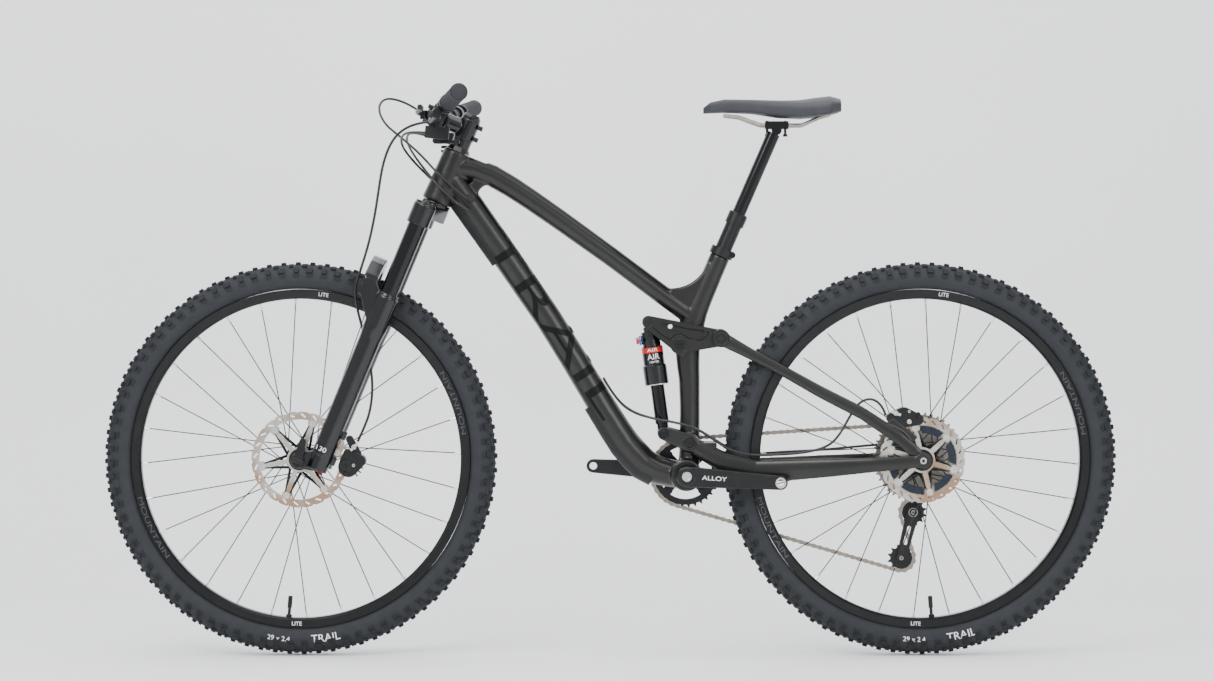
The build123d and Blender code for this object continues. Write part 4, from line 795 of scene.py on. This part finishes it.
# ---------------------------------------------------------------- hoses and housings
front_brake_route = [
    (-0.322, -0.176, 0.997), (-0.352, -0.168, 0.995), (-0.385, -0.152, 0.981), (-0.406, -0.136, 0.957),
    (-0.421, -0.118, 0.918), (-0.429, -0.104, 0.872), (-0.437, -0.093, 0.824), (-0.449, -0.082, 0.772),
    (-0.4665, -0.062, 0.721), (-0.478, -0.047, 0.689), (-0.474, -0.0405, 0.655), (-0.465, -0.0395, 0.620),
    (-0.455, -0.0395, 0.580), (-0.447, -0.042, 0.540), (-0.444, -0.046, 0.500), (-0.449, -0.050, 0.458),
    (-0.462, -0.051, 0.425), (-0.472, -0.0495, 0.404),
]
rear_brake_bar_route = [
    (-0.330, 0.178, 1.002), (-0.362, 0.172, 1.026), (-0.398, 0.158, 1.047), (-0.431, 0.130, 1.053),
    (-0.443, 0.096, 1.032), (-0.428, 0.058, 1.000), (-0.396, 0.018, 0.975), (-0.358, -0.018, 0.943),
    (-0.327, -0.038, 0.909), (-0.298, -0.040, 0.881), (-0.268, -0.029, 0.857),
]
derailleur_bar_route = [
    (-0.341, 0.150, 0.977), (-0.364, 0.122, 0.984), (-0.384, 0.084, 0.984), (-0.386, 0.044, 0.968),
    (-0.370, 0.006, 0.940), (-0.343, -0.024, 0.906), (-0.314, -0.039, 0.872), (-0.288, -0.041, 0.850),
    (-0.264, -0.029, 0.836),
]
dropper_bar_route = [
    (-0.341, -0.150, 0.977), (-0.366, -0.122, 0.980), (-0.388, -0.084, 0.975), (-0.390, -0.046, 0.956),
    (-0.372, -0.006, 0.930), (-0.345, 0.024, 0.902), (-0.316, 0.039, 0.873), (-0.290, 0.040, 0.853),
    (-0.264, 0.029, 0.840),
]
rear_brake_route = [
    (-0.0135, -0.008, 0.522), (0.006, -0.011, 0.488), (0.036, -0.017, 0.460), (0.078, -0.026, 0.446),
    (0.120, -0.042, 0.440), (0.158, -0.046, 0.430), (0.192, -0.047, 0.408), (0.222, -0.048, 0.388),
    (0.262, -0.049, 0.378), (0.316, -0.055, 0.380), (0.366, -0.060, 0.384), (0.408, -0.058, 0.396),
    (0.430, -0.050, 0.420), (0.446, -0.046, 0.450), (0.464, -0.047, 0.478), (0.488, -0.053, 0.486),
    (0.508, -0.058, 0.470), (0.513, -0.059, 0.453),
]
derailleur_route = [
    (-0.012, 0.008, 0.518), (0.012, 0.011, 0.478), (0.044, 0.017, 0.454), (0.084, 0.026, 0.443),
    (0.122, 0.039, 0.436), (0.158, 0.0413, 0.427), (0.190, 0.0413, 0.408), (0.224, 0.044, 0.386),
    (0.266, 0.049, 0.375), (0.322, 0.058, 0.379), (0.386, 0.071, 0.381), (0.450, 0.084, 0.386),
    (0.516, 0.092, 0.392), (0.572, 0.098, 0.392), (0.616, 0.098, 0.374), (0.628, 0.091, 0.346),
    (0.609, 0.080, 0.331),
]


front_hose_radius, bar_hose_radius, rear_hose_radius = 0.0025, 0.0023, 0.0024


def make_hoses():
    """Each hose is a tube along its route, its placement baked into the mesh; one of each group replaces the
    CAD node.
    """
    front = tube("front_hose", front_brake_route, front_hose_radius, "hose")
    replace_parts(front, "front_brake_hose")
    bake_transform(front)
    bar_routes = {"brake": rear_brake_bar_route, "shift": derailleur_bar_route, "dropper": dropper_bar_route}
    for name, route in bar_routes.items():
        made = tube("bar_hose_" + name, route, bar_hose_radius, "hose")
        if name == "brake":
            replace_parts(made, "bar_hoses")
        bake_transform(made)
    for name, route in {"brake": rear_brake_route, "shift": derailleur_route}.items():
        made = tube("rear_hose_" + name, route, rear_hose_radius, "hose")
        if name == "brake":
            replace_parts(made, "rear_hoses")
        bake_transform(made)


make_hoses()


# ---------------------------------------------------------------- frame skins with blended joints
def skin_over(node, name, body, look, grid, rounds):
    """A CAD node's outside rebuilt on a fine grid and relaxed, so that its tubes flow into each other."""
    made = show(name, nodes[node].data.copy())
    remesh = made.modifiers.new("grid", "REMESH")
    remesh.mode = "VOXEL"
    remesh.voxel_size = grid
    relax = made.modifiers.new("relax", "SMOOTH")
    relax.factor = 0.5
    relax.iterations = rounds
    bpy.context.view_layer.update()
    evaluated = made.evaluated_get(bpy.context.evaluated_depsgraph_get())
    mesh = bpy.data.meshes.new_from_object(evaluated)
    mesh.name = name
    made.modifiers.clear()
    made.data = mesh
    smooth_shade(mesh)
    mesh.materials.clear()
    mesh.materials.append(finish[look])
    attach(made, body)
    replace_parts(made, node)
    return made


main_grid = 0.0019
stay_grid = 0.0016
fork_grid = 0.0015
small_grid = 0.0008
main_skin = skin_over("main_frame", "frame_skin", "frame", "main frame", main_grid, 12)
skin_over("chainstay", "chainstay_skin", "rear_triangle", "frame", stay_grid, 5)
skin_over("seatstay", "seatstay_skin", "upper_stays", "frame", stay_grid, 5)
skin_over("fork_lowers", "fork_lowers_skin", "fork_slider", "gloss", fork_grid, 4)
for node, body, look in (
    ("shift_pods", "steering", "dull"), ("brake_masters", "steering", "black"), ("stem", "steering", "gloss"),
    ("fork_crown", "steering", "gloss"), ("front_caliper", "fork_slider", "black"),
    ("rear_caliper", "upper_stays", "black"), ("derailleur_body", "rear_triangle", "black"),
):
    skin_over(node, node + "_skin", body, look, small_grid, 5)


# ---------------------------------------------------------------- marks on the frame
outside_y = 0.5


def skin_of(*shown):
    """Search tree of the surface of some objects."""
    points, faces = [], []
    for item in shown:
        mesh = item.data
        base = len(points)
        points += [vertex.co.copy() for vertex in mesh.vertices]
        faces += [tuple(base + i for i in polygon.vertices) for polygon in mesh.polygons]
    return BVHTree.FromPolygons(points, faces)


def decal(name, outline, faces, skin, side, look, body, proud=0.0004, least_turn=0.15):
    """A mark pressed onto a surface from one side: outline points are (x, z)."""
    spots, keep = [], {}
    for number, (x, z) in enumerate(outline):
        hit, normal, _, _ = skin.ray_cast(Vector((x, side * outside_y, z)), Vector((0, -side, 0)))
        if hit is not None and abs(normal.y) > least_turn:
            keep[number] = len(spots)
            spots.append(hit + Vector((0, side, 0)) * proud)
    kept = [tuple(keep[i] for i in face) for face in faces if all(i in keep for i in face)]
    made = piece(name, spots, kept, look, True)
    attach(made, body)
    return made


fine_letters = 0.055
word_proud, seam_proud = 0.0006, 0.0003


def word_on_tube(name, text, start, end, size, stretch, skin, side, look, body):
    """A word running along a tube from start to end, both (x, z)."""
    points, faces = flat_word(text, size, fine_letters)
    along = Vector((end[0] - start[0], end[1] - start[1]))
    length = along.length
    along.normalize()
    up = Vector((-along.y, along.x)) * (1 if side == left else 1)
    width = max(p.x for p in points) - min(p.x for p in points)
    spots = []
    for point in points:
        reach = (point.x / width + 0.5) * length
        spots.append((start[0] + along.x * reach + up.x * point.y * stretch,
                      start[1] + along.y * reach + up.y * point.y * stretch))
    return decal(name, spots, faces, skin, side, look, body, word_proud)


frame_skin = skin_of(main_skin, nodes["frame_guards"])
word_top, word_foot = (-0.222, 0.790), (0.002, 0.452)
for name, side, start, end in (("left", left, word_top, word_foot), ("right", right, word_foot, word_top)):
    word_on_tube("frame_word_" + name, "TRAIL", start, end, 0.075, 0.88, frame_skin, side, "graphic", "frame")


def seam(name, path, width, skin, side, look, body):
    """A thin line pressed onto a surface, along a path of (x, z) points."""
    line = []
    for start, end in zip(path, path[1:]):
        for share in np.linspace(0, 1, 12, endpoint=False):
            line.append(Vector(start).lerp(Vector(end), share))
    line.append(Vector(path[-1]))
    spots = []
    for number, spot in enumerate(line):
        run = (line[min(number + 1, len(line) - 1)] - line[max(number - 1, 0)]).normalized()
        sideways = Vector((-run.y, run.x)) * width / 2
        spots += [tuple(spot + sideways), tuple(spot - sideways)]
    faces = [(2 * i, 2 * i + 1, 2 * i + 3, 2 * i + 2) for i in range(len(line) - 1)]
    return decal(name, spots, faces, skin, side, look, body, seam_proud)


rocker_seam = (
    (0.079, 0.617), (0.100, 0.600), (0.112, 0.594), (0.120, 0.6025), (0.133, 0.6045), (0.146, 0.596),
    (0.168, 0.592), (0.178, 0.598), (0.184, 0.608), (0.150, 0.613), (0.120, 0.619), (0.094, 0.626),
)
rocker_skin = skin_of(nodes["rocker"])
for name, side in (("left", left), ("right", right)):
    seam("rocker_seam_" + name, rocker_seam, 0.0016, rocker_skin, side, "graphic", "rocker_link")
for name, text, start, end, size, node, look, body in (
    ("crank_word", "ALLOY", (0.170, 0.3381), (0.216, 0.3351), 0.0115, "crank_arm_left", "mark", "crankset"),
    ("leg_word", "130", (-0.548, 0.3960), (-0.530, 0.3885), 0.0125, "fork_lowers", "mark", "fork_slider"),
    ("leg_word_low", "29 INCH", (-0.552, 0.3850), (-0.534, 0.3775), 0.0060, "fork_lowers", "rim mark",
     "fork_slider"),
):
    word_on_tube(name, text, start, end, size, 1.0, skin_of(nodes[node]), left, look, body)


# ---------------------------------------------------------------- rotors: rivets and fins
arm_count = 6
rivet_depth, tab_depth, arm_depth, fin_depth = 0.019, 0.0135, 0.021, 0.0165


def rod_through(shape, spot, half, radius, sides):
    """A pin across the rotor, from side to side of a point."""
    shape.rod(spot - Vector((0, half, 0)), spot + Vector((0, half, 0)), radius, sides)


def rotor_details(node, body, axle, arm_start):
    """Rivets at the ends of the rotor's arms and the dark carrier's ribs along them; returns its turns."""
    y = middle(node).y
    radius = extent(node).x / 2
    turns = [radians(arm_start + 360 / arm_count * number) for number in range(arm_count)]
    rivets, arms = Shape(), Shape()
    for turn in turns:
        rod_through(rivets, around(axle, radius - rivet_depth, turn, y), 0.0036, 0.0062, 16)
        for step in (-1, 0, 1):
            rod_through(rivets, around(axle, radius - tab_depth, turn + step * 0.055, y), 0.0012, 0.0018, 8)
        for lean in (-0.30, 0.30):
            base = around(axle, 0.024, turn + lean * 1.6, y)
            tip = around(axle, radius - arm_depth, turn + lean * 0.14, y)
            arms.rod(base, tip, 0.0026, 8)
    rivets.make(node + "_rivets", "silver", body)
    arms.make(node + "_arms", "carrier", body, True)
    return turns


def rotor_fins(node, body, axle, turns, inner):
    """Cooling plates between the arms, inside the braking ring."""
    y = middle(node).y
    outer = extent(node).x / 2 - fin_depth
    thick = Vector((0, 0.0014, 0))
    fins = Shape()
    for turn in turns:
        centre = turn + pi / arm_count
        outline = [around(axle, outer, centre + step, y) for step in np.linspace(-0.36, 0.36, 9)]
        outline += [around(axle, inner, centre + step, y) for step in np.linspace(0.30, -0.30, 9)]
        fins.slab([point - thick for point in outline], [point + thick for point in outline])
    fins.make(node + "_fins", "fins", body)


rotor_details("front_rotor", "front_wheel", front_axle, 10)
rear_turns = rotor_details("rear_rotor", "rear_wheel", rear_axle, 43)
rotor_fins("rear_rotor", "rear_wheel", rear_axle, rear_turns, 0.050)


# ---------------------------------------------------------------- bolts, rings and pressed marks
bolt_root, ring_root = -0.0012, -0.0006
bolt_edge, ring_edge = 0.0006, 0.0005
socket_depth = 0.0016


def bolt(shape, x, y, z, side, radius, height, socket=0.5):
    """Round head with a broken edge and a socket."""
    edge = min(bolt_edge, radius * 0.15)
    shape.turned((x, y, z), (0, side, 0), [
        (bolt_root, radius), (height - edge, radius), (height, radius - edge), (height, radius * socket),
        (height - socket_depth, radius * socket), (height - socket_depth, 0.0),
    ], 24)


def ring_mark(shape, x, y, z, side, inner, outer, height=0.0008):
    """A raised ring round a pivot."""
    shape.turned((x, y, z), (0, side, 0), [
        (ring_root, inner), (height * 0.7, inner), (height, inner + ring_edge), (height, outer - ring_edge),
        (height * 0.7, outer), (ring_root, outer),
    ], 48)


def side_face(node, x, z, side):
    """Y of a CAD node's outer surface at a point of the side view."""
    hit, _, _, _ = skin_of(nodes[node]).ray_cast(Vector((x, side * outside_y, z)), Vector((0, -side, 0)))
    return hit.y if hit is not None else None


rocker_pivot = Vector((0.1295, 0, 0.5845))
shock_top = Vector((0.0715, 0, 0.626))
shock_bottom = Vector((0.100, 0, 0.418))
stay_pivot = Vector((0.2066, 0, 0.5963))
main_pivot = Vector((0.148, 0, 0.4005))
pedal_eye = Vector((0.3166, 0, 0.3284))
ring_bolt_circle = 0.047


def make_rocker_hardware():
    """Bolts and raised rings where the rocker turns on the frame and holds the shock."""
    pivots, rings = Shape(), Shape()
    for side in (left, right):
        x, z = rocker_pivot.x, rocker_pivot.z
        face = side_face("rocker", x + 0.013, z, side)
        if face is not None:
            ring_mark(rings, x, face, z, side, 0.0085, 0.0118, 0.0012)
            ring_mark(rings, x, face, z, side, 0.0148, 0.0180, 0.0010)
            bolt(pivots, x, side_face("frame_bearings", x, z, side) or face, z, side, 0.0062, 0.0018, 0.45)
        x, z = shock_top.x, shock_top.z
        face = side_face("rocker", x + 0.009, z, side)
        if face is not None:
            ring_mark(rings, x, face, z, side, 0.0070, 0.0095)
            bolt(pivots, x, face, z, side, 0.0062, 0.0012)
    pivots.make("rocker_bolts", "black", "rocker_link")
    rings.make("rocker_rings", "frame", "rocker_link")


def make_stay_hardware():
    """Bolts and rings on the seatstay's front pivot, the main pivot and the shock's lower eye."""
    stay, lower = Shape(), Shape()
    for side in (left, right):
        x, z = stay_pivot.x, stay_pivot.z
        face = side_face("seatstay", x + 0.011, z, side)
        if face is not None:
            bolt(stay, x, face, z, side, 0.0105, 0.0016, 0.45)
            ring_mark(stay, x, face, z, side, 0.0130, 0.0165, 0.0007)
        for pivot, radius in ((main_pivot, 0.0088), (shock_bottom, 0.0066)):
            face = side_face("chainstay", pivot.x + radius * 0.9, pivot.z, side)
            if face is not None:
                bolt(lower, pivot.x, face, pivot.z, side, radius, 0.0016)
                ring_mark(lower, pivot.x, face, pivot.z, side, radius + 0.0015, radius + 0.0040)
    stay.make("seatstay_bolts", "black", "upper_stays")
    lower.make("lower_pivot_bolts", "black", "rear_triangle")


def make_crank_hardware():
    """Rings round the crank's axle and pedal thread, and the chainring's bolts."""
    crank_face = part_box("crank_arm_left")[0].y
    for name, look, spot, steps, profile in (
        ("crank_ring", "cap", bb_axis, 48, (
            (-0.004, 0.0098), (0.0008, 0.0098), (0.0014, 0.0104), (0.0014, 0.0162), (0.0008, 0.0170),
            (-0.004, 0.0170),
        )),
        ("crank_axle_end", "silver", bb_axis, 48, (
            (-0.0020, 0.0094), (-0.0002, 0.0094), (0.0004, 0.0088), (0.0004, 0.0060), (-0.0016, 0.0054),
            (-0.0016, 0.0),
        )),
        ("crank_pedal_ring", "silver", pedal_eye, 40, (
            (-0.003, 0.0072), (0.0004, 0.0072), (0.0006, 0.0076), (0.0006, 0.0096), (0.0002, 0.0100),
            (-0.003, 0.0100),
        )),
    ):
        part = Shape()
        part.turned((spot.x, crank_face, spot.z), (0, -1, 0), profile, steps)
        part.make(name, look, "crankset")
    bolts = Shape()
    ring_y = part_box("chainring")[0].y
    for number in range(4):
        spot = around(bb_axis, ring_bolt_circle, radians(45 + 90 * number), ring_y)
        bolt(bolts, spot.x, ring_y, spot.z, left, 0.0055, 0.0012)
    bolts.make("chainring_bolts", "black", "crankset")


make_rocker_hardware()
make_stay_hardware()
make_crank_hardware()


# ---------------------------------------------------------------- calipers and derailleur cage
front_piston = Vector((-0.4845, 0, 0.3590))
banjo_radius = 0.0030
fin_start, fin_end, fin_inset = 0.012, 0.023, 0.010


def make_front_caliper_details():
    """The hose's banjo with its bolt, the piston cap, two small bolts and the cooling fins."""
    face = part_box("front_caliper")[0].y
    metal, dark = Shape(), Shape()
    metal.rod((-0.4845, face - 0.0012, 0.3880), (-0.4720, face - 0.0012, 0.4010), banjo_radius, 16)
    bolt(metal, -0.4785, face - 0.0030, 0.3945, left, 0.0048, 0.0028, 0.45)
    bolt(metal, -0.4795, face, 0.3600, left, 0.0030, 0.0012, 0.4)
    bolt(dark, -0.4935, face, 0.3600, left, 0.0120, 0.0014, 0.25)
    bolt(dark, -0.4945, face, 0.3435, left, 0.0042, 0.0022)
    for number in range(6):
        turn = radians(-60 + 24 * number)
        inner, outer = [around(front_piston, reach, turn, face + fin_inset) for reach in (fin_start, fin_end)]
        dark.rod(inner, outer, 0.0016, 6)
    metal.make("front_caliper_metal", "silver", "fork_slider")
    dark.make("front_caliper_dark", "cap", "fork_slider")


def make_rear_caliper_details():
    """The hose's banjo with its bolt, and the caliper's own bolts."""
    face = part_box("rear_caliper")[0].y
    metal, dark = Shape(), Shape()
    metal.rod((0.5225, face - 0.0012, 0.4610), (0.5400, face - 0.0012, 0.4545), banjo_radius, 16)
    bolt(metal, 0.5310, face - 0.0030, 0.4580, left, 0.0046, 0.0026, 0.45)
    bolt(metal, 0.5560, face, 0.4420, left, 0.0045, 0.0020, 0.45)
    bolt(metal, 0.5560, face, 0.4610, left, 0.0026, 0.0014, 0.4)
    bolt(dark, 0.5720, face, 0.4550, left, 0.0052, 0.0022, 0.45)
    metal.make("rear_caliper_metal", "silver", "upper_stays")
    dark.make("rear_caliper_dark", "cap", "upper_stays")


def make_cage_details():
    """Bolts on both pulleys and a ring round the upper one."""
    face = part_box("derailleur_cage")[0].y
    guide, tension = middle("guide_pulley"), middle("tension_pulley")
    rings, bolts = Shape(), Shape()
    ring_mark(rings, guide.x, face, guide.z, left, 0.0072, 0.0086)
    bolt(bolts, guide.x, face, guide.z, left, 0.0046, 0.0014, 0.45)
    bolt(bolts, tension.x, face, tension.z, left, 0.0042, 0.0014, 0.45)
    rings.make("cage_rings", "steel", "cage")
    bolts.make("cage_bolts", "steel", "cage")


make_front_caliper_details()
make_rear_caliper_details()
make_cage_details()


# ---------------------------------------------------------------- shock marks
shock_axis = (shock_bottom - shock_top).normalized()
sleeve_wall = 0.0006
label_radius = 0.0200
label_proud = 0.00045


def shock_sleeve(name, start, end, radius, look):
    """A thin band round the shock's can, placed by its distances from the upper eye."""
    sleeve = Shape()
    sleeve.turned(shock_top, shock_axis, [
        (start, radius - sleeve_wall), (start, radius), (end, radius), (end, radius - sleeve_wall),
    ])
    sleeve.make(name, look, "shock_upper")


shock_sleeve("shock_red_band", 0.0475, 0.0575, label_radius + 0.00005, "red")
shock_sleeve("shock_label", 0.0575, 0.0790, label_radius, "gloss")
shock_sleeve("shock_can_ring", 0.1165, 0.1182, 0.02262, "silver")


def wrap_word(name, text, base, size, stretch=1.0):
    """A white word wrapped round the shock's can, its letters standing along the axis."""
    points, faces = flat_word(text, size)
    toward = Vector((0, -1, 0))
    across_axis = Vector((-shock_axis.z, 0, shock_axis.x))
    bent = []
    for point in points:
        turn = point.x * stretch / label_radius
        out = toward * cos(turn) + across_axis * sin(turn)
        bent.append(shock_top + shock_axis * (base - point.y) + out * (label_radius + label_proud))
    made = piece(name, bent, faces, "white")
    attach(made, "shock_upper")


wrap_word("shock_word_band", "AIR", 0.0525, 0.0085, 1.6)
wrap_word("shock_word", "AIR", 0.0655, 0.0150)
wrap_word("shock_size", "130 MM", 0.0750, 0.0055)


# ---------------------------------------------------------------- rim marks
rim_inner = 0.304
rim_word_radius = 0.3105
rim_half_inner, rim_flare = 0.0142, 0.0021
mark_proud = 0.0003


def rim_side(out):
    """Y of the rim's left wall at a radius."""
    share = np.clip((out - rim_inner) / (rim_radius - rim_inner), 0, 1)
    return -(rim_half_inner + rim_flare * share) - mark_proud


for wheel, axle, turns in (("front", front_axle, (205, 20)), ("rear", rear_axle, (20, 205))):
    for number, turn in enumerate(turns):
        arc_word(f"{wheel}_rim_word_{number}", "MOUNTAIN", axle, rim_word_radius, radians(turn), 0.0125,
                 wheel + "_wheel", "rim mark", rim_side, 1.9)
    for number, turn in enumerate((-91.5, 82)):
        arc_word(f"{wheel}_rim_size_{number}", "LITE", axle, rim_word_radius, radians(turn), 0.0105,
                 wheel + "_wheel", "mark", rim_side, 1.0, turn < 0)
